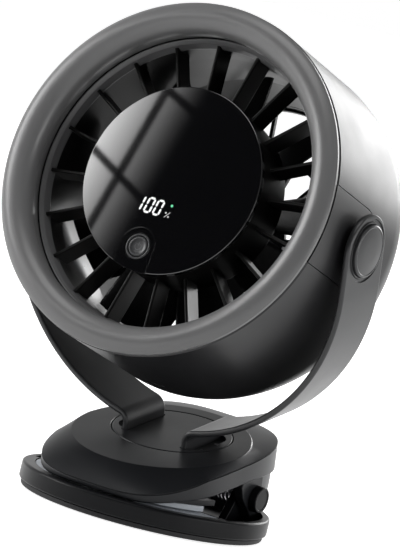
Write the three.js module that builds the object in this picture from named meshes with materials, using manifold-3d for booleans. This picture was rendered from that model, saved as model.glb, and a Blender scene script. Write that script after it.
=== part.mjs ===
// A small battery clip fan: a round drum head with a bladed front grille and a dark
// display disc, held in a two-armed yoke that swivels on a sprung clip.
// Millimetres, +Z up. The origin is the middle of the clip's flat sole, and -Y is the front.

import * as THREE from 'three';
import { mergeVertices } from 'three/addons/utils/BufferGeometryUtils.js';
import Module from 'manifold-3d';

const wasm = await Module();
wasm.setup();

// ---------------------------------------------------------------- driving dimensions

const gap = 0.3;                    // air between two pieces that seat on each other
const boltClearance = 0.3;          // radial air round a shaft or a screw
const smooth = 40;                  // sides of the large round parts
const medium = 24;                  // sides of the middling ones
const over = 1;                     // how far a cut runs past a face
const round = 16;                   // sides of the small round parts
const cornerSteps = 5;              // edges in the quarter round of a corner

// Lower jaw: a round tray that stands on a rubber sole
const jawRadius = 50;
const jawTop = 9.3;
const jawWall = 3;
const jawSkin = 2.5;
const trayFloor = 2;
const trayFront = -13;
const trayBack = 37;
const soleInset = 1.2;
const soleThickness = 2;
const padThickness = 1.6;
const padRecess = 0.1;              // how far the pad lies below the rim
const padBorder = 5;                // rim left round the lower pad
const padBack = -14;

// Upper jaw: a domed cover whose platform is tipped forward on the closed clip
const turntableY = 9;
const turntableZ = 32.6;
const wedgeAngle = 13.75;
const coverHalfWidth = 36.5;
const coverHalfLength = 51;
const coverCentreY = -7.2;
const coverSquareness = 3.05;       // 2 would be an oval, more is squarer
const coverWall = 2.4;
const platformSideInset = 2;
const platformEndInset = 12;
const platformStep = 0.9;           // the platform stands this much over the dome behind
const platformStepLength = 20;
const platformEdge = 0.5;
const domeMiddle = 0.5;             // a point half way up the dome, and how far it bulges there
const domeBulge = 0.08;
const seamFrontDrop = 7.4;
const seamSideDrop = 3.5;
const seamRise = 30;                // the seam climbs to its side height over this length
const skirtFrontDrop = 10.2;
const skirtSideDrop = 11.3;
const skirtBackDrop = 14.5;
const skirtCorner = 17;
const skirtBackStart = 5;
const skirtBackLength = 25;
const upperPadThickness = 2.3;
const upperPadInset = 0.5;
const upperPadSetback = 53.2;       // from the cover's foremost point to the middle of the pad's round
const padPlateThickness = 2;
const padPlateBack = 8;

// Hinge of the clip. The ears stand in line with the inside of the cover.
const hingeY = 25.8;
const hingeZ = 14.8;
const hingePinRadius = 2;
const earThickness = 4;
const earSkin = 1.5;                // tray floor left under the ear's round end
const earSlotClearance = 0.4;
const earFront = [[-12.2, 3.8], [-6.5, -2.7], [0.5, -8.5]];   // edge points from the hinge
const earBack = [[11.6, 1], [15.4, 7.1], [16.8, 8.3]];
const earHeight = 24;
const earRoundStart = 12;           // degrees between the ear's edges and its round end
const earRoundEnd = 14;
const earSteps = 8;
const lugThickness = 3.6;
const lugClearance = 0.5;
const lugRadius = 4.9;
const lugFrontReach = 11;           // foot of the lug in front of and behind the hinge
const lugBackReach = 5.4;
const lugSteps = 12;
const hingeCapRadius = 5.3;
const hingeCapThickness = 3.2;
const hingeCapChamfer = 0.5;

// Torsion springs on the hinge pin
const springWire = 1.2;
const springCoilRadius = 4.2;
const springTurns = 4;
const springPitch = 1.75;
const springRoom = 9.6;             // from the lug in to the start of the coil
const springSteps = 8;              // points for each turn of the wire
const springAcross = 5;             // sides of the wire
const springLowerReach = 11;        // from the hinge back to the end of the lower leg
const springUpperReach = 31.5;      // from the turntable's axis back to the end of the upper leg
const springUpperDrop = 0.6;        // how far the cover's ceiling is lower there than in the middle

// Turntable and its swivel post
const turntableRadius = 24;
const turntableThickness = 2.8;
const turntableEdge = 0.5;
const slotClearance = 0.4;
const wellWall = 2.4;
const hubRadius = 10;
const postRadius = 7;
const frictionWasherThickness = 2.6;
const frictionWasherWidth = 5;
const retainerThickness = 2;
const retainerWidth = 8.7;
const swivelScrewRadius = 2;
const swivelScrewHead = 4.2;
const swivelScrewHeadHeight = 1.6;
const swivelScrewLength = 9;
const screwSides = 12;
const screwBite = 0.1;              // radial room between a screw and the bore that it bites in

// Yoke: two bent arms, from slots in the turntable up to the pivot
const pivotHeight = 94.8;
const armThickness = 2.5;
const armHalfWidth = 14;
const archFloor = 3.5;              // the arms' round bend would come this near to the turntable
const footX = 13.8;                 // middle of the arm where it enters the turntable
const kneeRadius = 4.5;
const tabInset = 3.5;
const tabHalfWidth = 9;
const tabThickness = 2.1;
const yokeScrewRadius = 1.2;
const yokeScrewHead = 2.3;
const yokeScrewHeadHeight = 1.2;
const yokeScrewLength = 3.8;
const yokeScrewSpread = 5.5;
const kneeSteps = 4;
const archSteps = 11;

// Pivot of the head in the yoke
const pivotBoltRadius = 3;
const pivotBoltAir = 1;             // between the bolt's end and the duct
const pivotBossRadius = 9;
const pivotBossHeight = 0.6;
const pivotBossAir = 2.5;
const pivotWasherThickness = 0.8;
const pivotSeatDepth = 1.2;
const pivotCapRadius = 10.4;
const pivotCapHeight = 2.6;
const pivotCapDome = 0.7;
const pivotCapEdge = 1;
const boltHeadRadius = 6;
const boltHeadHeight = 1.4;
const armGrooveInner = 11.4;
const armGrooveWidth = 1;
const armGrooveDepth = 0.6;

// Head. Distances along its axis count forwards from the pivot.
const headTilt = 28.95;
const drumRadius = 71;
const drumWall = 2.2;
const drumFront = 29.6;
const drumShoulder = -28;
const drumBack = -50;
const drumTaper = 10;               // from the drum's radius to that of its back
const drumBackBulge = 1.2;          // the drum's last edge is rounded by this much
const drumBackEdge = 2;
const drumShoulderCurve = [[0.17, 0.35], [0.57, 0.7]];   // shares of the way in and of the way back
const rearLipWidth = 3.8;
const rearLipDepth = 4;
const panelHalfHeight = 15.7;
const panelThickness = 0.9;
const panelSteps = 18;

// Bezel: a thick round ring in front of the drum
const bezelSectionRadius = 6.5;
const bezelSink = 2.3;              // from the drum's front back to the middle of the ring
const bezelEdgeStep = 0.3;
const bezelInnerStep = 5.2;
const bezelInnerDepth = 6.7;
const bezelStartAngle = 200;        // the round front runs from here, at its inner edge,
const bezelEdgeAngle = 37;          // to here, at the drum
const bezelBackAngle = 65;
const bezelSteps = 7;
const bezelBackSteps = 3;
const bezelSkin = 2;
const bezelSpigotClearance = 0.4;
const bezelSpigotDepth = 9;

// Front grille: liner, vanes and the cup behind the display disc
const linerWall = 2.6;
const linerBack = 4;
const linerEdge = 0.8;
const linerSlope = 1.5;
const vaneCount = 20;
const vanePhase = 7.5;
const vaneThickness = 1.5;
const vaneSink = 2.6;
const vaneDepth = 11;
const cupInset = 0.7;
const cupWall = 2;
const cupBack = 3;
const cupFloor = 2;

// Display disc, button and what lies behind them
const lensRadius = 37.9;
const lensSink = 0.2;               // behind the middle of the bezel's ring
const lensThickness = 2.2;
const lensEdge = 0.5;
const buttonX = -3.6;
const buttonInset = 9.7;            // from the disc's lower edge up to the button's middle
const buttonRadius = 4;
const buttonClearance = 0.3;
const buttonRim = 0.9;
const buttonStem = 1.5;
const buttonRingHeight = 2;
const buttonTravel = 0.8;
const buttonSink = 0.2;             // how far the button stands back from the tongue's face
const buttonThickness = 1.2;
const buttonEdge = 0.2;
const buttonDish = 0.25;
const tongueHalfWidth = 7.6;
const tongueDepth = 0.6;
const tongueSteps = 10;
const boardAir = 2.2;
const boardThickness = 1.6;
const boardPostRadius = 2.6;
const boardPostInset = 3.7;
const boardPostAngles = [30, 150, 299];
const boardScrewRadius = 1;
const boardScrewHead = 2;
const boardScrewHeadHeight = 1.1;
const boardScrewLength = 5;
const displayX = -2.2;
const displayZ = -11.4;
const displayWidth = 22;
const displayHeight = 11;
const displayDepth = 2.3;
const switchSize = 5;
const switchHeight = 1;
const batterySideAir = 0.8;
const batteryEndAir = 2;
const batteryDepth = 11;
const batteryCorner = 4;

// Duct, rear grille and charging socket
const ductWall = 1.8;
const ductConeAir = 2;              // the duct narrows from this far behind the blades
const rearGrilleDepth = 2.4;
const rearRimLap = 1;
const rearRingWidth = 2.2;
const rearHubRadius = 15;
const rearSpokes = 16;
const rearSpokeWidth = 1.5;
const rearRingRadii = [35];
const rearScrewAngles = [90, 210, 330];
const rearScrewRadius = 1.1;
const rearScrewHead = 2.1;
const rearScrewHeadHeight = 1;
const rearScrewLength = 5.6;
const socketWidth = 9;
const socketHeight = 3.3;
const socketWall = 0.4;
const socketInset = 0.8;
const socketBack = 1;
const socketTongue = 0.7;
const socketTongueWidth = 6.6;
const socketLength = 7;
const socketPlace = -18;            // along the head's axis, on the underside of the drum
const chargeBoardWidth = 20;
const chargeBoardLength = 16;

// Motor and impeller
const motorBaseRadius = 20;
const motorBaseThickness = 1.5;
const runningGap = 0.5;             // between what turns and what stands
const tubeInner = 4.1;
const tubeWall = 0.9;
const tubePastStator = 2.6;
const shaftRadius = 1.5;
const bearingWidth = 4;
const statorOuter = 15;
const statorCore = 3;
const statorTooth = 4.2;
const statorShoe = 0.9;
const statorShoeWidth = 7;
const statorSlots = 9;
const statorFront = -4;
const statorBack = -15;
const airGap = 0.7;
const magnetThickness = 1.8;
const magnetOverhang = 0.8;
const canWall = 1;
const canFront = -2.5;
const impellerHubWall = 2;
const impellerFront = -1.5;
const bladeCount = 9;
const bladeTipAir = 1.9;
const bladeThickness = 1.5;
const bladeFront = -3;
const bladeBack = -21;
const bladeSweepRoot = 40;          // degrees from leading to trailing edge at the hub
const bladeSweepTip = 21;
const bladePhase = 12;              // degrees that the first blade stands round from +X
const bladeStations = 3;
const bladeSteps = 2;

// ---------------------------------------------------------------- finishes

const finish = {
  shellBlack: { color: 0x1b1c1f, roughness: 0.42, metalness: 0.0 },
  shellGrey: { color: 0x77787a, roughness: 0.35, metalness: 0.1 },
  armGrey: { color: 0x35363a, roughness: 0.4, metalness: 0.1 },
  clipBlack: { color: 0x222427, roughness: 0.45, metalness: 0.0 },
  innerBlack: { color: 0x0d0d0e, roughness: 0.5, metalness: 0.0 },
  glossBlack: { color: 0x050506, roughness: 0.08, metalness: 0.0 },
  padGrey: { color: 0x8a9098, roughness: 0.7, metalness: 0.0 },
  rubber: { color: 0x18181a, roughness: 0.85, metalness: 0.0 },
  steel: { color: 0xb4b6b9, roughness: 0.3, metalness: 1.0 },
  copper: { color: 0xb3683c, roughness: 0.35, metalness: 1.0 },
  magnet: { color: 0x4a4a4d, roughness: 0.5, metalness: 0.6 },
  board: { color: 0x14532d, roughness: 0.5, metalness: 0.0 },
  battery: { color: 0x8f9aa5, roughness: 0.4, metalness: 0.3 },
  display: { color: 0xf2f2f2, roughness: 0.4, metalness: 0.0 },
};

// ---------------------------------------------------------------- shaping

const degrees = Math.PI / 180;

// A closed three.js geometry as a solid that can be joined and cut
function solidOf(geometry) {
  const bare = new THREE.BufferGeometry();
  bare.setAttribute('position', geometry.getAttribute('position').clone());
  if (geometry.index) bare.setIndex(geometry.index.clone());
  const merged = mergeVertices(bare, 1e-5);
  const index = merged.index.array;
  const corners = [];
  for (let i = 0; i < index.length; i += 3) {
    const [a, b, c] = [index[i], index[i + 1], index[i + 2]];
    if (a !== b && b !== c && c !== a) corners.push(a, b, c);
  }
  return new wasm.Manifold(new wasm.Mesh({
    numProp: 3,
    vertProperties: new Float32Array(merged.getAttribute('position').array),
    triVerts: new Uint32Array(corners),
  }));
}

function geometryOf(solid) {
  const mesh = solid.getMesh();
  const geometry = new THREE.BufferGeometry();
  const positions = new Float32Array(mesh.numVert * 3);
  for (let i = 0; i < mesh.numVert; i += 1) {
    for (let k = 0; k < 3; k += 1) positions[3 * i + k] = mesh.vertProperties[mesh.numProp * i + k];
  }
  geometry.setAttribute('position', new THREE.BufferAttribute(positions, 3));
  geometry.setIndex(new THREE.BufferAttribute(new Uint32Array(mesh.triVerts), 1));
  geometry.computeVertexNormals();
  return geometry;
}

const join = (first, ...others) => others.reduce((whole, piece) => whole.add(piece), first);
const cut = (first, ...others) => others.reduce((whole, piece) => whole.subtract(piece), first);
const common = (first, second) => first.intersect(second);

// A profile of [radius, height] points turned about the Z axis
function turned(points, sides = smooth) {
  const profile = points.map(([radius, height]) => new THREE.Vector2(radius, height));
  if (THREE.ShapeUtils.area(profile) < 0) profile.reverse();
  profile.push(profile[0].clone());
  return solidOf(new THREE.LatheGeometry(profile, sides).rotateX(Math.PI / 2));
}

// The same about the fan's axis: the second number of each point counts forwards, to -Y
function turnedForward(points, sides = smooth) {
  return turned(points, sides).rotate([90, 0, 0]);
}

// A disc or a ring about Z, between two heights
function disc(radius, low, high, sides = round) {
  return turned([[0, low], [radius, low], [radius, high], [0, high]], sides);
}

function ring(inner, outer, low, high, sides = round) {
  return turned([[inner, low], [outer, low], [outer, high], [inner, high]], sides);
}

const toForward = (solid) => solid.rotate([90, 0, 0]);
const toX = (solid) => solid.rotate([0, 90, 0]);

function block(width, length, height, x, y, z) {
  return solidOf(new THREE.BoxGeometry(width, length, height).translate(x, y, z));
}

// A flat outline raised along Z
function raised(shape, low, high) {
  const options = { depth: high - low, bevelEnabled: false };
  return solidOf(new THREE.ExtrudeGeometry(shape, options).translate(0, 0, low));
}

function outline(points) {
  return new THREE.Shape(points.map(([x, y]) => new THREE.Vector2(x, y)));
}

// An outline drawn in (Y, Z), laid between two values of X
function acrossX(shape, low, high) {
  return raised(shape, low, high).rotate([90, 0, 90]);
}

// An outline drawn in (X, Z), laid between two values of Y
function acrossY(shape, low, high) {
  return raised(shape, -high, -low).rotate([90, 0, 0]);
}

const blend = (low, high, share) => low + (high - low) * Math.min(1, Math.max(0, share));

function arcPoints(x, y, radius, from, to, steps) {
  const points = [];
  for (let i = 0; i <= steps; i += 1) {
    const angle = (from + ((to - from) * i) / steps) * degrees;
    points.push([x + radius * Math.cos(angle), y + radius * Math.sin(angle)]);
  }
  return points;
}

function roundedRectangle(width, height, corner) {
  const [w, h] = [width / 2 - corner, height / 2 - corner];
  return outline([
    ...arcPoints(w, h, corner, 0, 90, cornerSteps),
    ...arcPoints(-w, h, corner, 90, 180, cornerSteps),
    ...arcPoints(-w, -h, corner, 180, 270, cornerSteps),
    ...arcPoints(w, -h, corner, 270, 360, cornerSteps),
  ]);
}

// Rings of equal point counts, lowest first, closed with a fan at both ends
function lofted(rings) {
  const positions = [];
  const index = [];
  const count = rings[0].length;
  rings.forEach((points) => points.forEach(([x, y, z]) => positions.push(x, y, z)));
  for (let level = 0; level + 1 < rings.length; level += 1) {
    for (let i = 0; i < count; i += 1) {
      const j = (i + 1) % count;
      const [a, b] = [level * count + i, level * count + j];
      const [c, d] = [a + count, b + count];
      index.push(a, b, d, a, d, c);
    }
  }
  [0, rings.length - 1].forEach((level) => {
    const middle = rings[level].reduce((sum, p) => sum.map((v, k) => v + p[k] / count), [0, 0, 0]);
    const centre = positions.length / 3;
    positions.push(...middle);
    for (let i = 0; i < count; i += 1) {
      const [a, b] = [level * count + i, level * count + ((i + 1) % count)];
      if (level === 0) index.push(centre, b, a);
      else index.push(centre, a, b);
    }
  });
  const geometry = new THREE.BufferGeometry();
  geometry.setAttribute('position', new THREE.Float32BufferAttribute(positions, 3));
  geometry.setIndex(index);
  return solidOf(geometry);
}

const fan = new THREE.Group();
const jawFrame = new THREE.Group();         // stands on the turntable's axis, tipped with the upper jaw
jawFrame.position.set(0, turntableY, turntableZ);
jawFrame.rotation.x = wedgeAngle * degrees;
const headFrame = new THREE.Group();        // its origin is the middle of the pivot
headFrame.position.set(0, 0, pivotHeight);
headFrame.rotation.x = -headTilt * degrees;
fan.add(jawFrame);
jawFrame.add(headFrame);

function place(frame, name, solid, look) {
  const mesh = new THREE.Mesh(geometryOf(solid), new THREE.MeshStandardMaterial(look));
  mesh.name = name;
  frame.add(mesh);
}

const sides = [['left', -1], ['right', 1]];
const mirrored = (solid, side) => (side < 0 ? solid.mirror([1, 0, 0]) : solid);

// ---------------------------------------------------------------- places that several pieces share

// Clip
const jawTilt = wedgeAngle * degrees;
const jawBottom = soleThickness + gap;
const floorTop = jawBottom + trayFloor;
const platformHalfWidth = coverHalfWidth - platformSideInset;
const platformHalfLength = coverHalfLength - platformEndInset;
const coverCeiling = -coverWall - platformStep;
const earOuter = coverHalfWidth - coverWall;
const earInner = earOuter - earThickness;
const earBottomRadius = hingeZ - jawBottom - earSkin;
const lugOuter = earInner - lugClearance;
const lugInner = lugOuter - lugThickness;
const springInnerX = lugInner - springRoom;
const upperPadY = coverCentreY - coverHalfLength + upperPadSetback;
const hingeHole = hingePinRadius + boltClearance;

// Turntable: what lies under its plate gives the well its depth
const tabTop = -turntableThickness - gap;
const tabBottom = tabTop - tabThickness;
const wellDepth = -tabBottom + gap + yokeScrewHeadHeight + gap;
const washerTop = -wellDepth - wellWall - gap;
const washerBottom = washerTop - frictionWasherThickness;
const postBottom = washerBottom - gap;
const retainerBottom = postBottom - gap - retainerThickness;
const tabOuter = turntableRadius - tabInset;
const yokeScrewX = (footX + armThickness / 2 + tabOuter) / 2;

// Head: bezel, liner and duct follow the drum, and the arms stand clear of it
const bossFace = drumRadius + pivotBossHeight;
const armInner = bossFace + gap + pivotWasherThickness + gap;
const armOuter = armInner + armThickness;
const armMiddle = armInner + armThickness / 2;
const seatFace = armOuter - pivotSeatDepth;
const drumBackRadius = drumRadius - drumTaper;
const rearSeat = drumBack + rearGrilleDepth + gap;
const rearLipInner = drumBackRadius - drumWall - rearLipWidth;
const rearScrewDistance = rearLipInner + rearLipWidth / 2;
const bezelEdgeReach = bezelSectionRadius * Math.cos(bezelEdgeAngle * degrees);
const bezelCentreRadius = drumRadius - bezelEdgeStep - bezelEdgeReach;
const bezelCentre = drumFront - bezelSink;
const bezelInnerRadius = bezelCentreRadius - bezelInnerStep;
const bezelInnerEdge = bezelCentre - bezelInnerDepth;
const bezelSpigotRadius = drumRadius - drumWall - bezelSpigotClearance;
const linerOuter = bezelInnerRadius - gap;
const linerInner = linerOuter - linerWall;
const ductOuter = linerOuter;
const ductInner = ductOuter - ductWall;
const bladeTip = ductInner - bladeTipAir;
const vaneFront = bezelInnerEdge - vaneSink;

// Display: the board stands as close behind the disc as its readout lets it
const lensFront = bezelCentre - lensSink;
const lensBack = lensFront - lensThickness;
const boardFront = lensBack - gap - displayDepth - gap;
const boardBack = boardFront - boardThickness;
const tongueFace = lensFront - tongueDepth;
const buttonZ = -lensRadius + buttonInset;
const buttonRingRadius = buttonRadius + buttonClearance + buttonRim;
const cupRadius = lensRadius - cupInset;
const cupFront = lensBack - gap;
const boardRadius = cupRadius - cupWall - boardAir;
const boardPosts = boardPostAngles.map((angle) => [
  (boardRadius - boardPostInset) * Math.cos(angle * degrees),
  (boardRadius - boardPostInset) * Math.sin(angle * degrees),
]);

// From the tipped frame of the upper jaw to heights over the sole, and back
function overSole(y, z) {
  return [
    turntableY + y * Math.cos(jawTilt) - z * Math.sin(jawTilt),
    turntableZ + y * Math.sin(jawTilt) + z * Math.cos(jawTilt),
  ];
}

function fromSole(solid) {
  return solid.translate([0, -turntableY, -turntableZ]).rotate([-wedgeAngle, 0, 0]);
}

const onHinge = (solid) => toX(solid).translate([0, hingeY, hingeZ]);

// ---------------------------------------------------------------- lower jaw

// From the foot in front, over the hinge and down to the foot behind
function lugOutline() {
  const height = hingeZ - floorTop;
  const reach = Math.hypot(lugFrontReach, height);
  const slope = Math.atan2(height, lugFrontReach) / degrees;
  const start = slope + Math.asin(lugRadius / reach) / degrees + 90;
  return outline([
    [hingeY - lugFrontReach, jawBottom],
    [hingeY - lugFrontReach, floorTop],
    ...arcPoints(hingeY, hingeZ, lugRadius, start, 0, lugSteps),
    [hingeY + lugBackReach, floorTop],
    [hingeY + lugBackReach, jawBottom],
  ]);
}

// A slab right across the jaw between two values of Y
function across(front, back, low, high) {
  return block(2 * jawRadius, back - front, high - low, 0, (front + back) / 2, (low + high) / 2);
}

function lowerJaw() {
  const inner = jawRadius - jawWall;
  const body = disc(jawRadius, jawBottom, jawTop, smooth);
  const tray = common(
    disc(inner, floorTop, jawTop + over, smooth),
    across(trayFront, trayBack, floorTop, jawTop + over),
  );
  const underside = disc(inner, jawBottom - over, jawTop - padThickness - jawSkin, smooth);
  const underFront = common(underside, across(-jawRadius, trayFront - jawWall, -jawTop, jawTop));
  const underBack = common(underside, across(trayBack + jawWall, jawRadius, -jawTop, jawTop));
  const padSeat = common(
    disc(jawRadius - padBorder, jawTop - padRecess - padThickness - gap, jawTop + over, smooth),
    across(-jawRadius, padBack + gap, 0, jawTop + over),
  );
  let jaw = cut(body, tray, underFront, underBack, padSeat);
  sides.forEach(([, side]) => {
    jaw = join(jaw, mirrored(acrossX(lugOutline(), lugInner, lugOuter), side));
    const slot = disc(earBottomRadius + earSlotClearance, lugOuter, earOuter + gap, medium);
    jaw = cut(jaw, mirrored(onHinge(slot), side));
  });
  return cut(jaw, onHinge(disc(hingeHole, -jawRadius, jawRadius)));
}

function sole() {
  return disc(jawRadius - soleInset, 0, soleThickness, smooth);
}

function lowerPad() {
  const top = jawTop - padRecess;
  return common(
    disc(jawRadius - padBorder - gap, top - padThickness, top, smooth),
    across(-jawRadius, padBack, 0, jawTop),
  );
}

function hingePin() {
  return onHinge(disc(hingePinRadius, -earOuter, earOuter));
}

function hingeCap(side) {
  const low = earOuter + gap;
  const high = low + hingeCapThickness;
  const cap = turned([
    [0, low],
    [hingeCapRadius, low],
    [hingeCapRadius, high - hingeCapChamfer],
    [hingeCapRadius - hingeCapChamfer, high],
    [0, high],
  ], round);
  return mirrored(onHinge(cap), side);
}

// One wire: a leg up to the cover's ceiling, the coil round the pin, a leg down to the tray
function springRoute() {
  const wireRadius = springWire / 2;
  const ceiling = coverCeiling - springUpperDrop - gap - wireRadius;
  const [upperY, upperZ] = overSole(springUpperReach, ceiling);
  const upper = [upperY - hingeY, upperZ - hingeZ];
  const lower = [springLowerReach, floorTop + gap + wireRadius - hingeZ];
  const tangent = ([y, z], sign) => {
    const lean = Math.acos(springCoilRadius / Math.hypot(y, z));
    return Math.atan2(z, y) + sign * lean;
  };
  const first = tangent(upper, 1);
  const last = tangent(lower, -1) + 2 * Math.PI * (springTurns + 1);
  const steps = Math.ceil(((last - first) / (2 * Math.PI)) * springSteps);
  const route = [new THREE.Vector3(springInnerX, ...upper)];
  for (let i = 0; i <= steps; i += 1) {
    const angle = first + ((last - first) * i) / steps;
    const x = springInnerX + (springPitch * (angle - first)) / (2 * Math.PI);
    const [y, z] = [springCoilRadius * Math.cos(angle), springCoilRadius * Math.sin(angle)];
    route.push(new THREE.Vector3(x, y, z));
  }
  route.push(new THREE.Vector3(route[route.length - 1].x, ...lower));
  return route;
}

// The least air between a wire and itself, on points laid closely along its route
function leastGap(route, wire) {
  const points = [];
  for (let i = 0; i + 1 < route.length; i += 1) {
    const count = Math.ceil(route[i].distanceTo(route[i + 1]) / (wire / 4));
    for (let k = 0; k < count; k += 1) points.push(route[i].clone().lerp(route[i + 1], k / count));
  }
  const skip = Math.ceil((3 * springCoilRadius) / (wire / 4));
  let least = Infinity;
  for (let i = 0; i < points.length; i += 1) {
    for (let j = i + skip; j < points.length; j += 1) {
      least = Math.min(least, points[i].distanceTo(points[j]));
    }
  }
  return least - wire;
}

function torsionSpring(side) {
  const route = springRoute();
  console.log(`torsion spring: least gap to itself ${leastGap(route, springWire).toFixed(2)} mm`);
  return mirrored(tubeAlong(route, springWire / 2, springAcross), side).translate([0, hingeY, hingeZ]);
}

// A tube with one ring of points square to the route at each of its points
function tubeAlong(route, radius, sideCount) {
  const rings = route.map((point, i) => {
    const before = route[Math.max(i - 1, 0)];
    const after = route[Math.min(i + 1, route.length - 1)];
    const along = after.clone().sub(before).normalize();
    const side = new THREE.Vector3(1, 0, 0);
    side.addScaledVector(along, -side.dot(along)).normalize();
    const up = along.clone().cross(side);
    const points = [];
    for (let k = 0; k < sideCount; k += 1) {
      const angle = (2 * Math.PI * k) / sideCount;
      const spot = point.clone().addScaledVector(side, radius * Math.cos(angle));
      spot.addScaledVector(up, radius * Math.sin(angle));
      points.push(spot.toArray());
    }
    return points;
  });
  return lofted(rings);
}

// ---------------------------------------------------------------- upper jaw

// Distance from the cover's middle to its rounded-square edge, or to the platform's oval edge
function coverReach(angle, inset) {
  const [c, s] = [Math.abs(Math.cos(angle)), Math.abs(Math.sin(angle))];
  const width = coverHalfWidth - inset;
  const length = coverHalfLength - inset;
  return ((c / width) ** coverSquareness + (s / length) ** coverSquareness) ** (-1 / coverSquareness);
}

function platformReach(angle, inset) {
  const [c, s] = [Math.cos(angle), Math.sin(angle)];
  return 1 / Math.hypot(c / (platformHalfWidth - inset), s / (platformHalfLength - inset));
}

// Height of the lower jaw's rim, seen in the tipped frame of the upper jaw
function rimHeight(y) {
  return (jawTop + gap - turntableZ - y * Math.sin(jawTilt)) / Math.cos(jawTilt);
}

// Distance behind the cover's foremost point
const behindFront = (y) => y - coverCentreY + coverHalfLength;

function seamHeight(y) {
  return -blend(seamFrontDrop, seamSideDrop, behindFront(y) / seamRise);
}

function skirtHeight(y) {
  const side = blend(skirtFrontDrop, skirtSideDrop, (behindFront(y) - skirtCorner) / skirtCorner);
  const back = blend(0, skirtBackDrop - skirtSideDrop, (y - skirtBackStart) / skirtBackLength);
  return Math.max(-side - back, rimHeight(y));
}

function coverRing(reach, height) {
  const points = [];
  for (let i = 0; i < smooth; i += 1) {
    const angle = (2 * Math.PI * i) / smooth;
    const r = reach(angle);
    const y = coverCentreY + r * Math.sin(angle);
    points.push([r * Math.cos(angle), y, height(y)]);
  }
  return points;
}

function coverOutside() {
  const step = (y) => -blend(0, platformStep, (y - coverCentreY) / platformStepLength);
  const middle = (angle) => blend(coverReach(angle, 0), platformReach(angle, 0), domeMiddle);
  return lofted([
    coverRing((angle) => coverReach(angle, 0), skirtHeight),
    coverRing((angle) => coverReach(angle, 0), seamHeight),
    coverRing(middle, (y) => blend(seamHeight(y), step(y), domeMiddle + domeBulge)),
    coverRing((angle) => platformReach(angle, 0), step),
    coverRing((angle) => platformReach(angle, platformEdge), () => 0),
  ]);
}

function coverInside() {
  const edge = (angle) => coverReach(angle, coverWall);
  return lofted([
    coverRing(edge, () => -skirtBackDrop - over),
    coverRing(edge, (y) => seamHeight(y) - over),
    coverRing((angle) => platformReach(angle, coverWall + platformStep), () => coverCeiling),
  ]);
}

// What is joined to the cover's inside ends within its skin
function coverEnvelope() {
  const edge = (angle) => coverReach(angle, coverWall / 2);
  return lofted([
    coverRing(edge, () => -hingeZ - turntableZ),
    coverRing(edge, (y) => seamHeight(y) - coverWall / 4),
    coverRing((angle) => platformReach(angle, coverWall / 2), () => -coverWall / 2 - platformStep),
  ]);
}

// Both edges come down past the hinge, and a round end turns in the tray's slot
function ear(side) {
  const edge = (points) => points.map(([y, z]) => [hingeY + y, hingeZ + z]);
  const [front, back] = [edge(earFront), edge(earBack)];
  const angleOf = ([y, z]) => Math.atan2(z - hingeZ, y - hingeY) / degrees;
  const from = angleOf(front[front.length - 1]) + earRoundStart;
  const shape = outline([
    [front[0][0], hingeZ + earHeight],
    ...front,
    ...arcPoints(hingeY, hingeZ, earBottomRadius, from, angleOf(back[0]) - earRoundEnd, earSteps),
    ...back,
    [back[back.length - 1][0], hingeZ + earHeight],
  ]);
  const plate = fromSole(acrossX(shape, earInner, earOuter));
  return mirrored(common(plate, coverEnvelope()), side);
}

const padSeatZ = jawTop + gap + upperPadThickness + gap;

function padPlate() {
  const plate = across(-jawRadius, padBack + padPlateBack, padSeatZ, padSeatZ + padPlateThickness);
  return common(fromSole(plate), coverEnvelope());
}

function upperJaw() {
  let cover = join(cut(coverOutside(), coverInside()), padPlate(), ear(1), ear(-1));
  const wellRadius = turntableRadius + slotClearance;
  cover = join(cover, disc(wellRadius + wellWall, -wellDepth - wellWall, -coverWall / 2, smooth));
  return cut(
    cover,
    disc(wellRadius, -wellDepth, over, smooth),
    disc(postRadius + boltClearance, -wellDepth - wellWall - over, over),
    fromSole(onHinge(disc(hingeHole, -jawRadius, jawRadius))),
  );
}

function upperPad() {
  const low = jawTop + gap;
  const high = low + upperPadThickness;
  const whole = disc(coverHalfWidth - upperPadInset, low, high, smooth).translate([0, upperPadY, 0]);
  return fromSole(common(whole, across(-jawRadius, padBack, low, high)));
}

// ---------------------------------------------------------------- turntable and swivel

// A screw that stands on its head: the head is under z = 0, the shank above
function screw(radius, headRadius, headHeight, length) {
  const chamfer = headHeight / 3;
  return turned([
    [0, -headHeight],
    [headRadius - chamfer, -headHeight],
    [headRadius, -headHeight + chamfer],
    [headRadius, 0],
    [radius, 0],
    [radius, length],
    [0, length],
  ], screwSides);
}

function turntable() {
  const plate = turned([
    [0, -turntableThickness],
    [turntableRadius, -turntableThickness],
    [turntableRadius, -turntableEdge],
    [turntableRadius - turntableEdge, 0],
    [0, 0],
  ], smooth);
  const hub = disc(hubRadius, -wellDepth + gap, -turntableThickness / 2);
  const post = disc(postRadius, postBottom, -turntableThickness / 2);
  let table = join(plate, hub, post);
  const slotWidth = armThickness + 2 * slotClearance;
  const slotLength = 2 * (armHalfWidth + slotClearance);
  const screwTop = tabBottom - gap + yokeScrewLength + gap;
  sides.forEach(([, side]) => {
    table = cut(table, block(slotWidth, slotLength, 2 * wellDepth, side * footX, 0, 0));
    [-1, 1].forEach((end) => {
      const hole = disc(yokeScrewRadius + screwBite, -wellDepth, screwTop, screwSides);
      table = cut(table, hole.translate([side * yokeScrewX, end * yokeScrewSpread, 0]));
    });
  });
  const boreTop = retainerBottom + swivelScrewLength;
  return cut(table, disc(swivelScrewRadius + screwBite, postBottom - over, boreTop, screwSides));
}

function frictionWasher() {
  return ring(postRadius + gap, postRadius + gap + frictionWasherWidth, washerBottom, washerTop);
}

function swivelRetainer() {
  const inner = swivelScrewRadius + boltClearance;
  return ring(inner, inner + retainerWidth, retainerBottom, postBottom - gap);
}

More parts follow.
